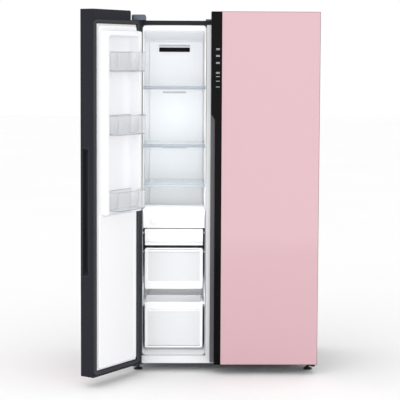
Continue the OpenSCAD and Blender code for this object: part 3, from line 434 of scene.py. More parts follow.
def shell_parts():
    """Outer sheet: an open path up the left side, over the top and down the right side, carried from the
    flange round the front edge to the back."""
    r = 5.0
    p = bpy.context.scene.refrigerator_sizes.sheet_edge * 1000
    u = np.linspace(0, math.pi / 2, 6)
    left = np.stack([-HALF_W + r * (1 - np.cos(u)), TOP_Z - r * (1 - np.sin(u))], 1)
    path = np.concatenate([[[-HALF_W, BASE_Z]], left, left[::-1] * [-1, 1], [[HALF_W, BASE_Z]]])
    nrm = np.concatenate(
        [
            [[-1, 0]],
            np.stack([-np.cos(u), np.sin(u)], 1),
            np.stack([np.cos(u[::-1]), np.sin(u[::-1])], 1),
            [[1, 0]],
        ]
    )
    inner = np.stack([np.clip(path[:, 0], FZ_LO[0], FR_HI[0]), np.minimum(path[:, 1], FZ_HI[2])], 1)
    rows = [(inner, CAB_Y)]
    for w in np.linspace(0, math.pi / 2, 5):
        rows.append((path - nrm * p * (1 - math.sin(w)), CAB_Y + p * (1 - math.cos(w))))
    rows.append((path, BACK_Y - 1))
    rows.append((path - nrm * 0.6, BACK_Y))
    return sheet(np.stack([np.stack([q[:, 0], np.full(len(q), y), q[:, 1]], 1) for q, y in rows]))


def liner_parts(x0, x1):
    """Inside of a space: round-cornered rectangles at stations along the depth. The floor climbs the
    sill, then the step over the machine bay with a round foot and nose; the ceiling drops behind the
    head; the last rings close the back."""
    r = 16.0
    u = np.linspace(0, math.pi / 2, 5)
    st = [
        (CAB_Y, OPEN_Z[0], OPEN_Z[1], 0),
        (CAB_Y + 4, OPEN_Z[0] + 0.6, OPEN_Z[1] - 0.5, 0),
        (CAB_Y + 57, FLOOR_Z - 0.8, CEILING_Z + 0.6, 0),
        (CAB_Y + 62, FLOOR_Z, CEILING_Z, 0),
        (STEP_Y - 14, FLOOR_Z, CEILING_Z, 0),
    ]
    st += [(STEP_Y - 14 + 14 * math.sin(w), FLOOR_Z + 14 * (1 - math.cos(w)), CEILING_Z, 0) for w in u[1:]]
    st += [(STEP_Y + 8 * (1 - math.cos(w)), STEP_Z - 8 + 8 * math.sin(w), CEILING_Z, 0) for w in u]
    st += [(LINER_BACK - 14, STEP_Z, CEILING_Z, 0)]
    st += [(LINER_BACK - 14 + 14 * math.sin(w), STEP_Z, CEILING_Z, 14 * (1 - math.cos(w))) for w in u[1:]]
    rings = []
    for y, z0, z1, e in st:
        a, b = outline(rectangle(x0, x1, z0, z1), r)
        q = a - b * e
        rings.append(np.stack([q[:, 0], np.full(len(q), y), q[:, 1]], 1))
    rings = np.stack(rings)
    points, faces = sheet(np.concatenate([rings, rings[:, :1]], 1))
    k = rings.shape[1] + 1
    cap = list(range((len(rings) - 1) * k, len(rings) * k - 1))
    return points, faces + [cap]


def inside(parts):
    """Turns an open surface to face the other way."""
    return parts[0], [f[::-1] for f in parts[1]]


def back_parts():
    """Back sheet with three pressed grooves, each along a tall rectangle with round corners. With D the
    distance from the middle line of a groove, its depth goes as t t (3 - 2 t), t = 1 - D / 9."""
    lo, hi = ends("back_plate")
    half_w, half_h, corner = 70, 560, 40
    inset, half_groove, depth = 6, 9, 3.0
    x, z = np.meshgrid(np.linspace(lo[0], hi[0], 90), np.linspace(lo[2], hi[2], 120))
    groove = np.zeros_like(x)
    for middle in (-260.0, 0.0, 260.0):
        dx = np.abs(x - middle) - half_w
        dz = np.abs(z - (lo[2] + hi[2]) / 2) - half_h
        q = np.hypot(np.maximum(dx + corner, 0), np.maximum(dz + corner, 0)) - corner
        t = np.clip(1 - np.abs(q + inset) / half_groove, 0, 1)
        groove = np.maximum(groove, t**2 * (3 - 2 * t))
    return inside(sheet(np.stack([x, BACK_Y - 0.2 - depth * groove, z], -1)))


class REFRIGERATOR_OT_cabinet(bpy.types.Operator):
    """Outer sheets with a round front edge and top corners"""

    bl_idname = "refrigerator.cabinet"
    bl_label = "Cabinet shell"

    def execute(self, context):
        d = looks()
        piece(
            "cabinet_sheets", [shell_parts()], "cabinet", d["navy_steel"], "painted_steel",
            ["cabinet_shell"], thick=1.0,
        )
        piece("back_sheet", [back_parts()], "cabinet", d["zinc"], "bare_steel", ["back_plate"], thick=0.8)
        cover = ends("hinge_covers")
        cap_w = 68.0
        parts = []
        for sign in (-1, 1):
            x0 = cover[0][0] if sign < 0 else cover[1][0] - cap_w
            shape = outline(rectangle(x0, x0 + cap_w, cover[0][1], cover[1][1]), 14, 8)
            u = np.linspace(0, math.pi / 2, 6)
            h = cover[1][2]
            prof = [(2 + 7 * (1 - math.cos(a)), h - 9 + 7 * math.sin(a)) for a in u[::-1]]
            prof += [(2, TOP_Z), (0, TOP_Z)]
            prof += [(7 * (1 - math.cos(a)), h - 7 + 7 * math.sin(a)) for a in u]
            parts.append(solid(carried(shape, prof)))
        piece("hinge_caps", parts, "cabinet", d["dark_abs"], "dark_plastic", ["hinge_covers"])
        for face, node in (("mullion_face", "mullion_trim"), ("sill_face", "front_rail")):
            lo, hi = ends(node)
            plate = slab((lo[0], CAB_Y - 0.4, lo[2]), (hi[0], CAB_Y + 1, hi[2]), 0.6, 1.0, "y")
            piece(face, [plate], "cabinet", d["white_steel"], "white_steel", [node])
        parts = [slab((-96, CAB_Y + 2, TOP_Z - 0.5), (-60, CAB_Y + 40, TOP_Z + 8), 3, 5)]
        piece("cable_cap", parts, "cabinet", d["dark_abs"], "dark_plastic")
        return {"FINISHED"}


def foam_parts():
    """Foam between the outer sheet and the liners: a block for each wall, drawn back from the sheets."""
    gap = 2.5
    front = CAB_Y + 6
    low = ends("cabinet_foam")[0][2] + gap
    bay = ends("back_plate")[0][2] + gap + 2
    back = LINER_BACK + WALL + 0.5
    left, right, top = -HALF_W + gap, HALF_W - gap, TOP_Z - gap
    blocks = (
        ((left, front, low + 20), (FZ_LO[0] - gap, STEP_Y, top), 4),
        ((FR_HI[0] + gap, front, low + 20), (right, STEP_Y, top), 4),
        ((left, STEP_Y, bay), (FZ_LO[0] - gap, back, top), 4),
        ((FR_HI[0] + gap, STEP_Y, bay), (right, back, top), 4),
        ((FZ_HI[0] + gap, front, low + 20), (FR_LO[0] - gap, STEP_Y, CEILING_Z), 3),
        ((FZ_HI[0] + gap, STEP_Y, bay), (FR_LO[0] - gap, back, CEILING_Z), 3),
        ((FZ_LO[0], front + 60, CEILING_Z + WALL + gap), (FR_HI[0], back, top), 4),
        ((left, back, bay), (right, BACK_Y - 6, top), 4),
        ((FZ_LO[0], front + 60, low + 10), (FR_HI[0], STEP_Y, FLOOR_Z - WALL - gap), 3),
    )
    return [slab(lo, hi, edge) for lo, hi, edge in blocks]


class REFRIGERATOR_OT_liners(bpy.types.Operator):
    """Vacuum-formed insides of the two spaces, with their rails and ribs"""

    bl_idname = "refrigerator.liners"
    bl_label = "Liners"

    def execute(self, context):
        d = looks()
        for node, (x0, x1), ribs in (("freezer_liner", FZ_X, FZ_RIBS), ("fridge_liner", FR_X, FR_RIBS)):
            parts = [inside(liner_parts(x0, x1))]
            piece(
                node + "_form", parts, "cabinet", d["liner"], "liner_white", [node], thick=1.8,
                weighted=False,
            )
            rails = []
            for z, y0, y1, w in ribs:
                rails.append(slab((x0 - 1, y0, z - 6), (x0 + w, y1, z), 1.5, 3, "x"))
                rails.append(slab((x1 - w, y0, z - 6), (x1 + 1, y1, z), 1.5, 3, "x"))
            piece(node + "_rails", rails, "cabinet", d["liner"], "liner_white")
        piece("wall_foam", foam_parts(), "cabinet", d["foam"], "insulation", ["cabinet_foam"])
        return {"FINISHED"}


SHELF_BACK = ends("freezer_shelf_1")[1][1] - 5
FZ_RIBS = [
    (ends(f"freezer_shelf_{i}")[0][2], ends("freezer_shelf_1")[0][1] + 10, SHELF_BACK, 8) for i in (1, 2, 3)
]
FZ_RIBS += [
    (ends(n)[1][2] - 20, ends(n)[0][1] + 20, y, 9)
    for n, y in (
        ("freezer_drawer_lower", STEP_Y - 12), ("freezer_drawer_upper", SHELF_BACK),
        ("ice_bucket", SHELF_BACK),
    )
]
FR_RIBS = [
    (ends("crisper_upper")[0][2] - 0.5, -130, SHELF_BACK, 20),
    (ends("crisper_lower")[0][2] - 0.5, -130, STEP_Y - 12, 20),
]


# ---------- Doors ----------

DOOR_ROUND = 3.0
NOTCH_W = 95.0
NOTCH_Z = TOP_Z - 2.0
FZ_S = (FZ_X[0] + HALF_W, FZ_X[1] + HALF_W)
FR_S = (HALF_W - FR_X[1], HALF_W - FR_X[0])
CHANNEL_HI = ends("handle_channel")[1]
CHANNEL_S = HALF_W - CHANNEL_HI[0]
STRIP_S = HALF_W - ends("control_panel")[1][0]
PANEL_Z = ends("control_panel")[0][2]
POCKET_LO, POCKET_HI = ends("freezer_handle_pocket")
CASE_FILL = FREEZER_DOOR_W - 44
BIN_D = 39.0  # from the side of the space to a bin
MARKS_X = 38.0  # the touch marks stand this far to the left of the cabinet's middle
MARKS_Z = (1596, 1564, 1530, 1482, 1464, 1442, 1414)
PAD_V = DOOR_T + 12
DIKE_V = DOOR_T + 50
BIN_V = (DOOR_T + 0.3, DOOR_T + 98.5)  # a bin's side against the door, and its far side
DIKE_TOP = CEILING_Z - 8
FZ_DIKE = ends("ice_maker_housing")[1][2] + 12
FR_DIKE = ends("fridge_shelves")[0][2] + 18
FR_BINS = [FR_DIKE + s * (DIKE_TOP - FR_DIKE) for s in (0.74, 0.41, 0.022)]


def door_case(corners, v0, v1, opening, hole=None):
    """Ring of sheet metal round a door: the outline goes back from v0, rounds the rear edge, crosses the
    border to the liner's opening and comes back 2 mm inside. hole = (z0, z1, v0, v1) leaves a window in
    the free edge, lined by four faces."""
    p, n = outline(corners, DOOR_ROUND)
    if hole:
        i = next(
            j
            for j in range(len(p) - 1)
            if p[j, 0] == p[:, 0].max() and p[j, 1] < hole[0] and p[j + 1, 1] > hole[1]
        )
        p = np.insert(p, i + 1, [[p[i, 0], hole[0]], [p[i, 0], hole[1]]], 0)
        n = np.insert(n, i + 1, [n[i], n[i]], 0)
    inner = np.stack([np.clip(p[:, 0], opening[0], opening[1]), np.clip(p[:, 1], OPEN_Z[0], OPEN_Z[1])], 1)
    rows = [(p, v0)] + ([(p, hole[2]), (p, hole[3])] if hole else [])
    rows += [
        (p - n * DOOR_ROUND * (1 - math.sin(u)), v1 - DOOR_ROUND * (1 - math.cos(u)))
        for u in np.linspace(math.pi / 2, 0, 5)
    ]
    rows += [(inner, v1), (inner, v1 - 2), (p - 2 * n, v1 - 2.5)]
    rows += ([(p - 2 * n, hole[3]), (p - 2 * n, hole[2])] if hole else []) + [(p - 2 * n, v0)]
    rings = np.stack([np.stack([q[:, 0], np.full(len(q), v), q[:, 1]], 1) for q, v in rows])
    points, faces = hoop(rings)
    if hole:
        m, k = rings.shape[:2]
        a, b = k + i + 1, 2 * k + i + 1
        c, d = (m - 3) * k + i + 1, (m - 2) * k + i + 1
        gone = {k + i + 1, (m - 3) * k + i + 1}
        faces = [f for j, f in enumerate(faces) if j not in gone]
        loop, back = [a, a + 1, b + 1, b], [d, d + 1, c + 1, c]
        faces += [[loop[j], loop[(j + 1) % 4], back[(j + 1) % 4], back[j]] for j in range(4)]
    return points, faces


def bezel(s0, s1, z0, z1, stop=None):
    """Narrow frame round a pane, flush with its face: a strip 1.3 mm wide carried round the pane, or
    round three sides of it up to stop."""
    if stop is None:
        shape = outline(rectangle(s0, s1, z0, z1), 2.0)
        return hoop(carried(shape, [(0, GLASS_T), (0, 0.6), (0.4, 0.2), (1.3, 0.2), (1.3, GLASS_T)], "y"))
    path = [
        (stop, z0 + 1.3), (s0 + 1.3, z0 + 1.3), (s0 + 1.3, z1 - 1.3), (stop, z1 - 1.3), (stop, z1),
        (s0, z1), (s0, z0), (stop, z0),
    ]
    return solid(carried(outline(path, 0.3, 3), edged(0.2, GLASS_T, 0.2), "y"))


def liner_relief(s0, s1, dike_z, step):
    """Door liner as a height over the door's plane. Each raised or sunk field is a rectangle with round
    corners; with D the distance inside its outline, its height rises as t t (3 - 2 t), t = D / slope.
    Flange, pad, dikes and recess are laid over each other."""
    def field(x, z, x0, x1, z0, z1, r, slope):
        qx = np.abs(x - (x0 + x1) / 2) - (x1 - x0) / 2 + r
        qz = np.abs(z - (z0 + z1) / 2) - (z1 - z0) / 2 + r
        inside_by = r - np.hypot(np.maximum(qx, 0), np.maximum(qz, 0)) - np.minimum(np.maximum(qx, qz), 0)
        t = np.clip(inside_by / slope, 0, 1)
        return t * t * (3 - 2 * t)

    def lines(a, b, marks, fine, coarse):
        """Grid lines: closely set near the marks, widely elsewhere."""
        near = [np.arange(m - 14, m + 14.1, fine) for m in marks]
        every = np.unique(np.round(np.concatenate([np.arange(a, b, coarse), [a, b], *near]), 2))
        return every[(every >= a) & (every <= b)]

    a, b = s0 + 8, s1 - 8
    x = lines(s0, s1, (a + 4, b - 4, a + 30, b - 30), 2.0, 14.0)
    z = lines(
        OPEN_Z[0],
        OPEN_Z[1],
        (OPEN_Z[0] + 12, dike_z + 8, DIKE_TOP - 26, DIKE_TOP, OPEN_Z[1] - 8),
        2.0,
        step,
    )
    x, z = np.meshgrid(x, z)
    pad = field(x, z, a, b, OPEN_Z[0] + 8, OPEN_Z[1] - 8, 14, 5)
    dike = field(x, z, a + 4, b - 4, dike_z, DIKE_TOP, 16, 9)
    deep = field(
        x, z, a + 30, b - 30, dike_z - 30, DIKE_TOP - 26, 14, 9
    ) * np.clip((z - dike_z + 4) / 8, 0, 1)
    v = DOOR_T + (PAD_V - DOOR_T) * pad + (DIKE_V - PAD_V) * dike
    v = v + (DOOR_T - 1.5 - v) * deep
    panel = field(x, z, a + 22, b - 22, OPEN_Z[0] + 34, dike_z - 26, 18, 4)
    v = v - 2.0 * panel
    return sheet(np.stack([x, v, z], -1))


def gasket(s0, s1):
    """Magnetic gasket: a bellows section carried round the liner's opening, with round corners."""
    o = 17.0
    shape = outline(rectangle(s0 - o, s1 + o, OPEN_Z[0] - o, OPEN_Z[1] + o), 17.5)
    v = DOOR_T
    prof = [
        (0, v), (0, v + 2), (2.2, v + 3.2), (0.4, v + 4.6), (0.4, v + 8), (1.6, v + 9.4),
        (6.5, v + 9.4), (7.5, v + 8.6), (8.5, v + 9.4), (13.4, v + 9.4), (14.6, v + 8), (14.6, v + 4.6),
        (12.8, v + 3.2), (15, v + 2), (15, v),
    ]
    return hoop(carried(shape, prof, "y"))


def bin_parts(s0, s1, z):
    """Door bin: drafted tub with a bead round the rim. The darker line round its foot is painted shade, made
    apart from the tub.
    """
    return tub((s0 + BIN_D, BIN_V[0], z), (s1 - BIN_D, BIN_V[1], z + 90), 2.4, 16, 3.5, lip=1.2)


def bin_painted_edge_shade(s0, s1, z):
    """Painted shade where a bin's wall is seen through its length: a grey line round the foot and one round
    the rim, standing in for the darker look of clear plastic seen edge on.
    """
    a, b = s0 + BIN_D, s1 - BIN_D
    v0, v1 = BIN_V
    foot = outline(rectangle(a + 5, b - 5, v0 + 5, v1 - 5), 13)
    rim = outline(rectangle(a, b, v0, v1), 16)
    return [
        hoop(carried(foot, [(0, z - 0.8), (2.2, z - 0.8), (2.2, z + 1.4), (0, z + 1.4)])),
        hoop(carried(rim, [(-0.2, z + 88.6), (1.6, z + 88.6), (1.6, z + 90.1), (-0.2, z + 90.1)])),
    ]


class REFRIGERATOR_OT_freezer_door(bpy.types.Operator):
    """Freezer door: glass, case with the window for its grip, liner, gasket and bins"""

    bl_idname = "refrigerator.freezer_door"
    bl_label = "Freezer door"

    def execute(self, context):
        d = looks()
        w, z0, z1 = FREEZER_DOOR_W, DOOR_Z0, DOOR_Z1
        put = {"body": "freezer_door", "place": on_freezer_door}
        piece("freezer_glass_bezel", [bezel(0, w, z0, z1)], look=d["navy_steel"], slot="painted_steel", **put)
        pane = slab((1.5, 0, z0 + 1.5), (w - 1.5, GLASS_T, z1 - 1.5), 0.6, 1.5, "y")
        piece(
            "freezer_front_glass", [pane], look=d["pink_glass"], slot="tinted_glass",
            stands_for=["freezer_door_glass"], **put,
        )
        corners = [(0, z0), (w, z0), (w, z1), (NOTCH_W, z1), (NOTCH_W, NOTCH_Z), (0, NOTCH_Z)]
        case = [door_case(corners, GLASS_T, DOOR_T, FZ_S, (POCKET_LO[2], POCKET_HI[2], 9, 49))]
        case += [slab((0.5, GLASS_T, NOTCH_Z - 4), (NOTCH_W + 3, GLASS_T + 2, z1 - 0.5), 0.4, 1, "y")]
        piece(
            "freezer_door_case", case, look=d["navy_steel"], slot="painted_steel",
            stands_for=["freezer_door_frame"], **put,
        )
        fill = slab((FZ_S[0] - 20, GLASS_T + 1, z0 + 4), (CASE_FILL, DOOR_T - 4, NOTCH_Z - 8), 6, 12, "y")
        piece(
            "freezer_door_fill", [fill], look=d["foam"], slot="insulation",
            stands_for=["freezer_door_foam"], **put,
        )
        piece(
            "freezer_door_inner", [liner_relief(*FZ_S, FZ_DIKE, 14.0)], look=d["liner"],
            slot="liner_white", stands_for=["freezer_door_liner"], thick=1.6, weighted=False, **put,
        )
        piece(
            "freezer_door_seal", [gasket(*FZ_S)], look=d["rubber"], slot="seal_rubber",
            stands_for=["freezer_door_gasket"], sharp=50, **put,
        )
        painted_edge_shade_lines, ledges = [], []
        for i in (1, 2, 3):
            node = f"freezer_bin_{i}"
            z = ends(node)[0][2]
            tray = bin_parts(*FZ_S, z)
            piece(
                f"freezer_door_bin_{i}", [tray], look=d["clear"], slot="clear_plastic",
                stands_for=[node], **put,
            )
            painted_edge_shade_lines += bin_painted_edge_shade(*FZ_S, z)
            for s in (FZ_S[0] + 37, FZ_S[1] - 46):
                ledges.append(slab((s, DOOR_T + 2, z - 9), (s + 9, DOOR_T + 44, z - 1), 2, 3, "y"))
        # Grey lines round each bin's foot and rim: painted shade, not a part of the bin
        piece("freezer_bin_painted_edge_shade", painted_edge_shade_lines, look=d["clear_rim"], slot="clear_plastic", **put)
        piece("freezer_bin_ledges", ledges, look=d["liner"], slot="liner_white", **put)
        return {"FINISHED"}


class REFRIGERATOR_OT_fridge_door(bpy.types.Operator):
    """Refrigerator door: glass, dark strip, case, liner, gasket and bins"""

    bl_idname = "refrigerator.fridge_door"
    bl_label = "Refrigerator door"

    def execute(self, context):
        d = looks()
        w, z0, z1 = FRIDGE_DOOR_W, DOOR_Z0, DOOR_Z1
        put = {"body": "fridge_door", "place": on_fridge_door}
        piece(
            "fridge_glass_bezel", [bezel(0, w, z0, z1, STRIP_S)], look=d["navy_steel"],
            slot="painted_steel", **put,
        )
        pane = slab((1.5, 0, z0 + 1.5), (STRIP_S - 0.3, GLASS_T, z1 - 1.5), 0.6, 1.5, "y")
        piece(
            "fridge_front_glass", [pane], look=d["pink_glass"], slot="tinted_glass",
            stands_for=["fridge_door_glass"], **put,
        )
        strip_end = HALF_W - ends("handle_strip")[0][0]
        top = CHANNEL_HI[2] - 2
        shape = outline([(STRIP_S, PANEL_Z), (strip_end, PANEL_Z), (w, top), (w, z1), (STRIP_S, z1)], 1.2)
        piece(
            "touch_strip",
            [solid(carried(shape, edged(0, GLASS_T, 0.8), "y"))],
            look=d["black_glass"],
            slot="gloss_black",
            stands_for=["control_panel"],
            **put,
        )
        strip = slab((STRIP_S, 0, z0), (strip_end, GLASS_T, PANEL_Z), 0.8, 1.0, "y")
        piece(
            "grip_strip", [strip], look=d["black_glass"], slot="gloss_black",
            stands_for=["handle_strip"], **put,
        )
        cv = CHANNEL_HI[1] - FRONT_Y
        front = [
            (0, z0), (CHANNEL_S, z0), (CHANNEL_S, CHANNEL_HI[2]), (w, CHANNEL_HI[2]), (w, z1),
            (NOTCH_W, z1), (NOTCH_W, NOTCH_Z), (0, NOTCH_Z),
        ]
        shape = outline(front, DOOR_ROUND)
        case = [hoop(carried(shape, [(0, GLASS_T), (0, cv), (2, cv), (2, GLASS_T)], "y"))]
        full = [(0, z0), (w, z0), (w, z1), (NOTCH_W, z1), (NOTCH_W, NOTCH_Z), (0, NOTCH_Z)]
        case += [door_case(full, cv, DOOR_T, FR_S)]
        case += [slab((0.5, GLASS_T, NOTCH_Z - 4), (NOTCH_W + 3, GLASS_T + 2, z1 - 0.5), 0.4, 1, "y")]
        piece(
            "fridge_door_case", case, look=d["navy_steel"], slot="painted_steel",
            stands_for=["fridge_door_frame"], **put,
        )
        fill = slab((FR_S[0] - 20, GLASS_T + 1, z0 + 4), (CHANNEL_S - 4, DOOR_T - 4, NOTCH_Z - 8), 6, 12, "y")
        piece(
            "fridge_door_fill", [fill], look=d["foam"], slot="insulation",
            stands_for=["fridge_door_foam"], **put,
        )
        piece(
            "fridge_door_inner",
            [inside(liner_relief(*FR_S, FR_DIKE, 14.0))],
            look=d["liner"],
            slot="liner_white",
            stands_for=["fridge_door_liner"],
            thick=1.6,
            weighted=False,
            **put,
        )
        piece(
            "fridge_door_seal", [gasket(*FR_S)], look=d["rubber"], slot="seal_rubber",
            stands_for=["fridge_door_gasket"], sharp=50, **put,
        )
        piece(
            "fridge_door_bins", [bin_parts(*FR_S, z) for z in FR_BINS], look=d["clear"],
            slot="clear_plastic", stands_for=["fridge_bins"], **put,
        )
        # Painted shade: grey lines round the foot and rim of each bin, where the clear wall is seen edge on
        piece(
            "fridge_bin_painted_edge_shade",
            [q for z in FR_BINS for q in bin_painted_edge_shade(*FR_S, z)],
            look=d["clear_rim"],
            slot="clear_plastic",
            **put,
        )
        marks = []
        s = HALF_W + MARKS_X
        for i, z in enumerate(MARKS_Z):
            rows = ((2.6, 9.0), (-2.6, 9.0)) if i < 4 else ((0.0, 9.0),)
            marks += [
                slab((s - h, -0.15, z + o - 1.1), (s + h, 0.3, z + o + 1.1), 0.1, 0.5, "y") for o, h in rows
            ]
        piece("touch_marks", marks, look=d["print"], slot="white_plastic", **put)
        return {"FINISHED"}


# ---------- Inside ----------


def framed_front(x0, x1, y, z0, z1, border, radius):
    """Front of a drawer: a ring between two round-cornered outlines, rounded towards the front and
    stepped back inside. border is the width of the ring at the sides, along the bottom and along the
    top."""
    side, low, high = border
    p, n = outline(rectangle(x0, x1, z0, z1), radius)
    q, m = outline(rectangle(x0 + side, x1 - side, z0 + low, z1 - high), radius * 0.6)
    u = np.linspace(math.pi / 2, 0, 4)
    rows = [(p, y + 10)] + [(p - n * 2.5 * (1 - math.sin(a)), y + 2.5 * (1 - math.cos(a))) for a in u]
    rows += [(q, y), (q - m * 1.2, y + 1.2), (q - m * 1.6, y + 5), (q - m * 1.6, y + 10)]
    return hoop(np.stack([np.stack([r[:, 0], np.full(len(r), v), r[:, 1]], 1) for r, v in rows]))


# Node, body, finish and slot of what pulls out of the freezer
PULL_OUTS = (
    ("freezer_drawer_upper", "drawer_upper", "frosted", "frosted_plastic"),
    ("freezer_drawer_lower", "drawer_lower", "frosted", "frosted_plastic"),
    ("ice_bucket", "ice_bucket_slider", "white_abs", "white_plastic"),
)


class REFRIGERATOR_OT_drawers(bpy.types.Operator):
    """Freezer drawers, ice bucket and crispers"""

    bl_idname = "refrigerator.drawers"
    bl_label = "Drawers"

    def execute(self, context):
        d = looks()
        for node, body, look, slot in PULL_OUTS:
            lo, hi = ends(node)
            x0, x1 = lo[0] + 8, hi[0] - 8
            tray = [tub((x0 + 1, lo[1] + 7, lo[2]), (x1 - 1, hi[1], hi[2] - 12), 2.5, 14, 4, lip=1.0)]
            tray += [
                slab((a, lo[1] + 24, hi[2] - 19.4), (a + 9, hi[1] - 4, hi[2] - 16.6), 1.0, 2)
                for a in (lo[0], hi[0] - 9)
            ]
            if node == "ice_bucket":
                tray += [slab((x0, lo[1], lo[2] + 17), (x1, lo[1] + 9, hi[2]), 2.5, 4, "y")]
                tray += [slab((x0, lo[1] + 0.5, lo[2]), (x1, lo[1] + 9, lo[2] + 16), 2.5, 4, "y")]
                piece("ice_bucket_form", tray, body, d[look], slot, [node])
                continue
            tray.append(
                slab((x0 + 10, lo[1] + 5, lo[2] + 12), (x1 - 10, lo[1] + 7.5, hi[2] - 24), 0.8, 4, "y")
            )
            piece(node + "_tray", tray, body, d[look], slot, [node])
            band = (14, 38, 6) if node == "freezer_drawer_upper" else (12, 8, 34)
            border = [framed_front(x0, x1, lo[1], lo[2], hi[2], band, 11)]
            top = hi[2] - band[2]
            border.append(slab((x0 + 12, lo[1] + 1.2, top - 13), (x1 - 12, lo[1] + 9, top - 3), 2, 3, "x"))
            if band[2] > 20:
                for z in (hi[2] - 12, hi[2] - 26):
                    border.append(slab((x0 + 8, lo[1] - 0.9, z), (x1 - 8, lo[1] + 3, z + 3), 1.0, 1.0, "x"))
            piece(node + "_front", border, body, d["white_abs"], "white_plastic")
        for node in ("crisper_upper", "crisper_lower"):
            lo, hi = ends(node)
            x0, x1 = lo[0] + 14, hi[0] - 14
            parts = [tub((x0, lo[1] + 7, lo[2]), (x1, hi[1], hi[2] - 2), 2.5, 16, 5, lip=1.5)]
            parts += [
                slab((a, lo[1] + 10, lo[2]), (a + 18, hi[1], lo[2] + 3), 0.8, 2)
                for a in (lo[0], hi[0] - 18)
            ]
            parts += [slab((x0, lo[1], lo[2] + 3), (x1, lo[1] + 8, hi[2]), 2.5, 8, "y")]
            piece(node + "_form", parts, "cabinet", d["clear"], "clear_plastic", [node])
        return {"FINISHED"}


FRIDGE_BASE = ends("fridge_shelves")[0][2] + 4  # top of the lowest refrigerator shelf
SHELF_SHARES = (0.72, 0.43, 0.0)  # heights of those shelves, as shares of the way from it to the ceiling


class REFRIGERATOR_OT_shelves(bpy.types.Operator):
    """Glass shelves with ground edges and their front trims"""

    bl_idname = "refrigerator.shelves"
    bl_label = "Shelves"

    def execute(self, context):
        d = looks()
        trims, panes = [], []
        for i in (1, 2, 3):
            lo, hi = ends(f"freezer_shelf_{i}")
            piece(
                f"freezer_pane_{i}", [slab(lo, hi, 1.2, 6)], "cabinet", d["shelf_glass"], "shelf_glass",
                [f"freezer_shelf_{i}"],
            )
            trims.append((lo[0], hi[0], lo[1], hi[2]))
        lo, hi = ends("fridge_shelves")
        for share in SHELF_SHARES:
            z = FRIDGE_BASE + share * (CEILING_Z - FRIDGE_BASE)
            panes.append(slab((lo[0], lo[1], z - 4), (hi[0], hi[1], z), 1.2, 6))
            trims.append((lo[0], hi[0], lo[1], z))
        piece("fridge_panes", panes, "cabinet", d["shelf_glass"], "shelf_glass", ["fridge_shelves"])
        parts = []
        for x0, x1, y, z in trims:
            parts.append(slab((x0, y - 6, z - 11), (x1, y + 5, z + 3), 2.6, 2.6, "x"))
            parts.append(slab((x0, y - 3, z - 13), (x1, y + 8, z - 5), 1.5, 1.5, "x"))
        piece("shelf_fronts", parts, "cabinet", d["shelf_front"], "white_plastic", ["shelf_trims"])
        return {"FINISHED"}


# Height, width and number of rows of each group of air slots
TOP_SLOT = (CEILING_Z - 78, 160, 1)
FZ_SLOTS = [TOP_SLOT] + [(ends(f"freezer_shelf_{i}")[1][2] - 40, 120, 1) for i in (1, 2)]
FZ_SLOTS += [(STEP_Z + 90, 160, 4)]
FR_SLOTS = [TOP_SLOT] + [(FRIDGE_BASE + s * (CEILING_Z - FRIDGE_BASE) - 50, 160, 2) for s in SHELF_SHARES[:2]]
SLOT_PITCH = 16
SLOT_H = 8


class REFRIGERATOR_OT_ducts(bpy.types.Operator):
    """Back panels with their raised fields, fascias and air slots"""

    bl_idname = "refrigerator.ducts"
    bl_label = "Back panels"

    def execute(self, context):
        d = looks()
        y = ends("vent_bezel")[1][1]
        for node, (x0, x1), left, right, slots in (
            ("freezer_duct_cover", FZ_X, 26, 7, FZ_SLOTS),
            ("fridge_duct_cover", FR_X, 60, 60, FR_SLOTS),
        ):
            lo, hi = ends(node)
            parts = [slab((x0 + 2, y + 8, lo[2]), (x1 - 2, y + 11, hi[2]), 1, 2, "y")]
            parts += [slab((a, y + 9, lo[2]), (a + 3, LINER_BACK, hi[2]), 0.8, 0.8) for a in (x0 + 2, x1 - 5)]
            parts += [slab((x0 + left, y, lo[2]), (x1 - right, y + 9, CEILING_Z - 54), 3, 10, "y")]
            f = CEILING_Z - 1
            wedge = outline(
                [(y + 7.5, f - 44), (y + 7.5, f), (y - 102, f), (y - 102, f - 5), (y - 96, f - 6)],
                [1.5, 0.5, 1.5, 2, 3],
                4,
            )
            parts.append(solid(carried(wedge, edged(x0 + 3, x1 - 3, 1.5), "x")))
            piece(node + "_form", parts, "cabinet", d["liner"], "liner_white", [node])
            dark, blades = [], []
            for z, w, rows in slots:
                m = (x0 + x1) / 2
                for i in range(rows):
                    zz = z - SLOT_PITCH * i
                    dark.append(
                        slab((m - w / 2, y - 0.35, zz), (m + w / 2, y + 1, zz + SLOT_H), 0.2, 2.5, "y")
                    )
                    blades.append(
                        slab(
                            (m - w / 2 + 3, y - 1.4, zz + 3.2), (m + w / 2 - 3, y + 0.4, zz + 4.8), 0.5,
                            0.7, "x",
                        )
                    )
            # The grey slabs are painted shade of the duct mouths behind the slots
            piece(node + "_slots", dark, "cabinet", d["slot_shade"], "grey_plastic")
            piece(node + "_blades", blades, "cabinet", d["white_abs"], "white_plastic")
        lo, hi = ends("vent_bezel")
        piece(
            "vent_trim", [slab(lo, hi, 1.2, 4, "y")], "cabinet", d["black_glass"], "gloss_black",
            ["vent_bezel"],
        )
        return {"FINISHED"}


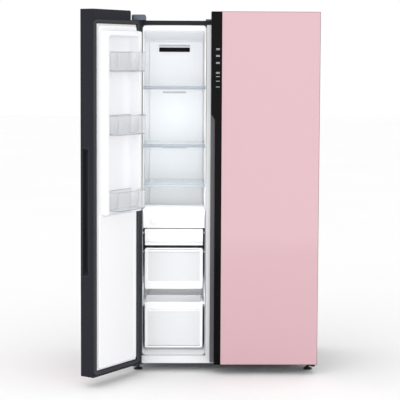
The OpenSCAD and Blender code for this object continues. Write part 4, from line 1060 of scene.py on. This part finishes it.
class REFRIGERATOR_OT_ice_maker(bpy.types.Operator):
    """Face of the twist ice maker, its dials and printed arrows"""

    bl_idname = "refrigerator.ice_maker"
    bl_label = "Ice maker"

    def execute(self, context):
        d = looks()
        lo, hi = ends("ice_maker_housing")
        y = lo[1]
        face = [slab((lo[0], y - 0.8, lo[2]), (hi[0], y + 4, hi[2]), 2.0, 5, "y")]
        face += [slab((lo[0] + 2, y + 20, hi[2] - 1), (hi[0] - 2, hi[1] - 8, hi[2] + 1.2), 0.8, 6)]
        arrows = []
        for side in ("left", "right"):
            klo, khi = ends(f"ice_knob_{side}")
            cx, cz = (klo[0] + khi[0]) / 2, (klo[2] + khi[2]) / 2
            face.append(solid_ring(cx, cz, 33, 29.5, y - 3, y))
            front = klo[1]
            u = np.linspace(0, math.pi / 2, 5)
            disc = [(27.5, y - 0.8), (27.5, front + 5)] + [
                (26 + 1.5 * math.cos(a), front + 5 - 1.5 * math.sin(a)) for a in u
            ] + [(21, front + 3.2)]
            knob = [turned(disc, (cx, 0, cz), "y", 40)]
            knob += [slab((cx - 4.5, front, cz - 22), (cx + 4.5, front + 5, cz + 22), 1.6, 4.2, "y")]
            piece(
                f"dial_{side}", knob, f"ice_twister_{side}", d["white_abs"], "white_plastic",
                [f"ice_knob_{side}"],
            )
            for a0, a1 in ((25, 75), (105, 155)):
                t = np.radians(np.linspace(a0, a1, 14))[:, None]
                rad = np.array([[36.5, 38.6]])
                arrows.append(ribbon(cx + rad * np.cos(t), y - 0.95, cz + rad * np.sin(t)))
        piece("ice_maker_face", face, "cabinet", d["white_abs"], "white_plastic")
        piece("dial_arrows", arrows, "cabinet", d["print"], "grey_plastic")
        return {"FINISHED"}


def solid_ring(cx, cz, outer, inner, y0, y1):
    """Flat ring about the y axis with softened rims: a six-sided section turned through a full circle."""
    t = np.arange(48) / 48 * 2 * math.pi
    prof = np.array(
        [(outer, y1), (outer, y0 + 1), (outer - 1, y0), (inner + 0.8, y0), (inner, y0 + 0.8), (inner, y1)]
    )
    r, h = prof[:, 0][:, None], prof[:, 1][:, None]
    return hoop(np.stack([cx + r * np.cos(t), np.broadcast_to(h, (len(prof), 48)), cz + r * np.sin(t)], -1))


def ribbon(x, y, z):
    """Thin closed strip over a grid in the x z plane, 0.3 mm thick: the front grid and the back one
    joined round the rim."""
    a, b = (np.concatenate([g[:, 0], g[::-1, -1]]) for g in (x, z))
    return solid(np.stack([np.stack([a, np.full(len(a), h), b], 1) for h in (y, y + 0.3)]))


def screw_rows(name, head, inset, count, heights):
    """Two rows of screw heads across the back, from one side to the other."""
    spots = [(x, 0, z) for x in np.linspace(-HALF_W + inset, HALF_W - inset, count) for z in heights]
    piece(name, [turned(head, spot, "y", 14) for spot in spots], "cabinet", looks()["zinc"], "bare_steel")


class REFRIGERATOR_OT_standing(bpy.types.Operator):
    """Levelling feet, rollers and screws"""

    bl_idname = "refrigerator.standing"
    bl_label = "Feet, rollers and screws"

    def execute(self, context):
        d = looks()
        for side in ("left", "right"):
            lo, hi = ends(f"levelling_foot_{side}")
            c = ((lo[0] + hi[0]) / 2, (lo[1] + hi[1]) / 2, 0)
            u = np.linspace(0, math.pi / 2, 5)
            pad = [(20.5, 0), (22, 1.2), (22, 5)] + [
                (18 + 4 * math.cos(a), 5 + 2.5 * math.sin(a)) for a in u[1:]
            ] + [(12, 9.5), (9, 10)]
            stem = [(4.95, 9)] + [(4.95 - 0.5 * (i % 2), 18 + i) for i in range(0, 21)]
            nut = outline(
                [
                    (c[0] + 10 * math.cos(a), c[1] + 10 * math.sin(a))
                    for a in np.radians(np.arange(0, 360, 60))
                ],
                1.2,
                4,
            )
            piece(
                f"foot_{side}_form",
                [turned(pad, c), turned(stem, c, steps=20), solid(carried(nut, edged(9.6, 18, 0.8)))],
                f"foot_{side}",
                d["black_steel"],
                "black_metal",
                [f"levelling_foot_{side}"],
            )
            lo, hi = ends(f"rear_roller_{side}")
            c = (0, (lo[1] + hi[1]) / 2, (lo[2] + hi[2]) / 2)
            w = [
                (4.1, lo[0]), (13, lo[0]), (15, lo[0] + 0.8), (16, lo[0] + 3), (16, hi[0] - 3),
                (15, hi[0] - 0.8), (13, hi[0]), (4.1, hi[0]),
            ]
            r, h = np.array(w).T
            t = np.arange(40) / 40 * 2 * math.pi
            ring = np.stack(
                [
                    np.broadcast_to(h[:, None], (len(w), 40)),
                    c[1] + r[:, None] * np.cos(t),
                    c[2] + r[:, None] * np.sin(t),
                ],
                -1,
            )
            piece(
                f"roller_{side}_form", [hoop(ring)], f"roller_{side}", d["black_abs"], "dark_plastic",
                [f"rear_roller_{side}"],
            )
        head = [(4.2, BACK_Y - 0.6), (4.0, BACK_Y - 0.25), (2.6, BACK_Y - 0.02), (0.6, BACK_Y)]
        screw_rows("back_screws", head, 14, 6, (ends("back_plate")[0][2] + 8, TOP_Z - 12))
        lo, hi = ends("rear_cover")
        y = hi[1]
        head = [(4.5, y - 1), (4.5, y + 0.8), (3.6, y + 1.9), (0.8, y + 2.2)]
        screw_rows("cover_screws", head, 16, 5, (lo[2] + 8, hi[2] - 8))
        return {"FINISHED"}


def lamp(name, power, width, height=None):
    """Area lamp: a square, or a rectangle where it has a height."""
    light = bpy.data.lights.new(name, "AREA")
    light.energy = power
    light.size = width
    if height:
        light.shape = "RECTANGLE"
        light.size_y = height
    made = bpy.data.objects.new(name, light)
    bpy.context.scene.collection.objects.link(made)
    return made


SENSOR_W = 36.0
FOCAL = 3.365 * SENSOR_W
CAMERA_TURN = (-1.12, 4.26, 0.277)  # yaw, pitch and roll in degrees
CAMERA_PLACE = (-250.0, -6520.0 + FRONT_Y, 1545.0)
FLOOR_HALF = 30000


class REFRIGERATOR_OT_stage(bpy.types.Operator):
    """Pale floor, soft studio light and the camera"""

    bl_idname = "refrigerator.stage"
    bl_label = "Stage"

    def execute(self, context):
        scene = context.scene
        scene.view_settings.view_transform = "Standard"
        world = bpy.data.worlds.new("studio")
        scene.world = world
        world.use_nodes = True
        world.node_tree.nodes["Background"].inputs[0].default_value = (1, 1, 1, 1)
        world.node_tree.nodes["Background"].inputs[1].default_value = 1.0
        span = np.linspace(-FLOOR_HALF, FLOOR_HALF, 3)
        grid = np.stack(np.meshgrid(span, span) + [np.full((3, 3), -0.5)], -1)
        mesh = bpy.data.meshes.new("floor")
        points, faces = sheet(grid)
        mesh.from_pydata((points / 1000).tolist(), [], faces)
        floor = bpy.data.objects.new("floor", mesh)
        scene.collection.objects.link(floor)
        mesh.materials.append(
            finish("matt_white_paint", "#fbfbfb", "#ffffff", (0.8, 0.9), 20, 0.0, drift=2000)
        )
        for name, place, target, size, power in (
            ("key", (-2.6, -4.2, 3.6), (0, 0, 0.9), 3.0, 34),
            ("fill", (3.0, -4.5, 2.2), (0, 0, 0.9), 3.0, 20),
            ("low", (0.0, -5.0, 0.8), (0, 0, 0.8), 2.5, 22),
        ):
            made = lamp(name, power, size)
            made.location = place
            made.rotation_euler = (Vector(target) - Vector(place)).to_track_quat("-Z", "Y").to_euler()
        ice = ends("ice_maker_housing")[1][2]
        gap = ends("freezer_drawer_lower")[1][2], ends("freezer_drawer_upper")[0][2]
        bay = ends("freezer_shelf_3")[0][2] - 14
        for name, y, z0, z1, power in (
            ("shelf_light", CAB_Y - 4, bay, CEILING_Z, 0.9),
            ("bay_light", CAB_Y - 4, ice + 4, bay, 0.4),
            ("drawer_light", CAB_Y - 4, FLOOR_Z, ice, 0.1),
            ("gap_light", CAB_Y + 60, gap[0] + 4, gap[1] - 10, 0.3),
        ):
            made = lamp(name, power, (FZ_X[1] - FZ_X[0] - 20) / 1000, (z1 - z0) / 1000)
            made.location = (np.array([FZ_MID, y, (z0 + z1) / 2]) + MIDDLE) / 1000
            made.rotation_euler = (math.pi / 2, 0, 0)
            made.visible_camera = made.visible_glossy = False
        shot = bpy.data.cameras.new("camera")
        shot.sensor_width = SENSOR_W
        shot.lens = FOCAL
        shot.shift_y = -0.1
        shot.dof.use_dof = False
        shot.clip_end = 200
        yaw, pitch, roll = (math.radians(a) for a in CAMERA_TURN)
        ahead = Vector((-math.sin(yaw) * math.cos(pitch), math.cos(yaw) * math.cos(pitch), -math.sin(pitch)))
        right = Vector((math.cos(yaw), math.sin(yaw), 0))
        up = right.cross(ahead)
        made = bpy.data.objects.new("camera", shot)
        x = math.cos(roll) * right + math.sin(roll) * up
        y = math.cos(roll) * up - math.sin(roll) * right
        turn = Matrix((x, y, -ahead)).transposed()
        spot = Vector((np.array(CAMERA_PLACE) + MIDDLE) / 1000)
        made.matrix_world = Matrix.Translation(spot) @ turn.to_4x4()
        scene.collection.objects.link(made)
        scene.camera = made
        return {"FINISHED"}


CAD_LOOKS = {
    "base_tray": "zinc",
    "top_hinges": "zinc",
    "bottom_hinges": "black_steel",
    "evaporator": "aluminium",
    "fan_motors": "dark_abs",
    "compressor": "black_steel",
    "condenser": "black_steel",
    "drain_pan": "white_abs",
    "rear_cover": "black_steel",
    "mains_inlet": "black_abs",
    "ice_maker_housing": "white_abs",
    "evaporator_fan": "white_abs",
    "condenser_fan": "black_abs",
    "ice_tray_left": "clear",
    "ice_tray_right": "clear",
    "freezer_handle_pocket": "pocket_abs",
    "handle_channel": "grey_abs",
}


class REFRIGERATOR_OT_frame_finishes(bpy.types.Operator):
    """Finishes of the pieces that keep the shape they have in the frame"""

    bl_idname = "refrigerator.frame_finishes"
    bl_label = "Frame finishes"

    def execute(self, context):
        d = looks()
        for name, key in CAD_LOOKS.items():
            mesh = frame["nodes"][name].data
            mesh.materials.clear()
            mesh.materials.append(d[key])
        return {"FINISHED"}


class RefrigeratorFinish(bpy.types.PropertyGroup):
    glass: bpy.props.FloatVectorProperty(
        name="Door glass",
        description="Enamel behind the glass of both doors",
        subtype="COLOR",
        min=0,
        max=1,
        default=colour("#cfa9b0")[:3],
    )
    steel: bpy.props.FloatVectorProperty(
        name="Cabinet and door steel",
        description="Coating of the cabinet and of the door cases",
        subtype="COLOR",
        min=0,
        max=1,
        default=colour("#1f2128")[:3],
    )
    inside: bpy.props.FloatVectorProperty(
        name="Inside", description="Plastic of the liners", subtype="COLOR", min=0, max=1,
        default=colour("#f4f5f7")[:3],
    )


class RefrigeratorSizes(bpy.types.PropertyGroup):
    sheet_edge: bpy.props.FloatProperty(
        name="Sheet edge",
        description="Radius of the cabinet's front edges",
        default=0.003,
        min=0.001,
        max=0.008,
        unit="LENGTH",
    )


STEPS = (
    REFRIGERATOR_OT_cabinet,
    REFRIGERATOR_OT_liners,
    REFRIGERATOR_OT_ducts,
    REFRIGERATOR_OT_shelves,
    REFRIGERATOR_OT_drawers,
    REFRIGERATOR_OT_ice_maker,
    REFRIGERATOR_OT_freezer_door,
    REFRIGERATOR_OT_fridge_door,
    REFRIGERATOR_OT_standing,
    REFRIGERATOR_OT_frame_finishes,
    REFRIGERATOR_OT_stage,
)


class REFRIGERATOR_PT_panel(bpy.types.Panel):
    bl_idname = "REFRIGERATOR_PT_panel"
    bl_label = "Refrigerator"
    bl_space_type = "VIEW_3D"
    bl_region_type = "UI"
    bl_category = "Refrigerator"

    def draw(self, context):
        for step in STEPS:
            self.layout.operator(step.bl_idname)


CLASSES = (RefrigeratorFinish, RefrigeratorSizes, *STEPS, REFRIGERATOR_PT_panel)


def register():
    for c in CLASSES:
        bpy.utils.register_class(c)
    bpy.types.Scene.refrigerator_finish = bpy.props.PointerProperty(type=RefrigeratorFinish)
    bpy.types.Scene.refrigerator_sizes = bpy.props.PointerProperty(type=RefrigeratorSizes)


def unregister():
    del bpy.types.Scene.refrigerator_sizes
    del bpy.types.Scene.refrigerator_finish
    for c in reversed(CLASSES):
        bpy.utils.unregister_class(c)


def main():
    register()
    for step in STEPS:
        group, name = step.bl_idname.split(".")
        getattr(getattr(bpy.ops, group), name)()


if __name__ == "__main__":
    main()
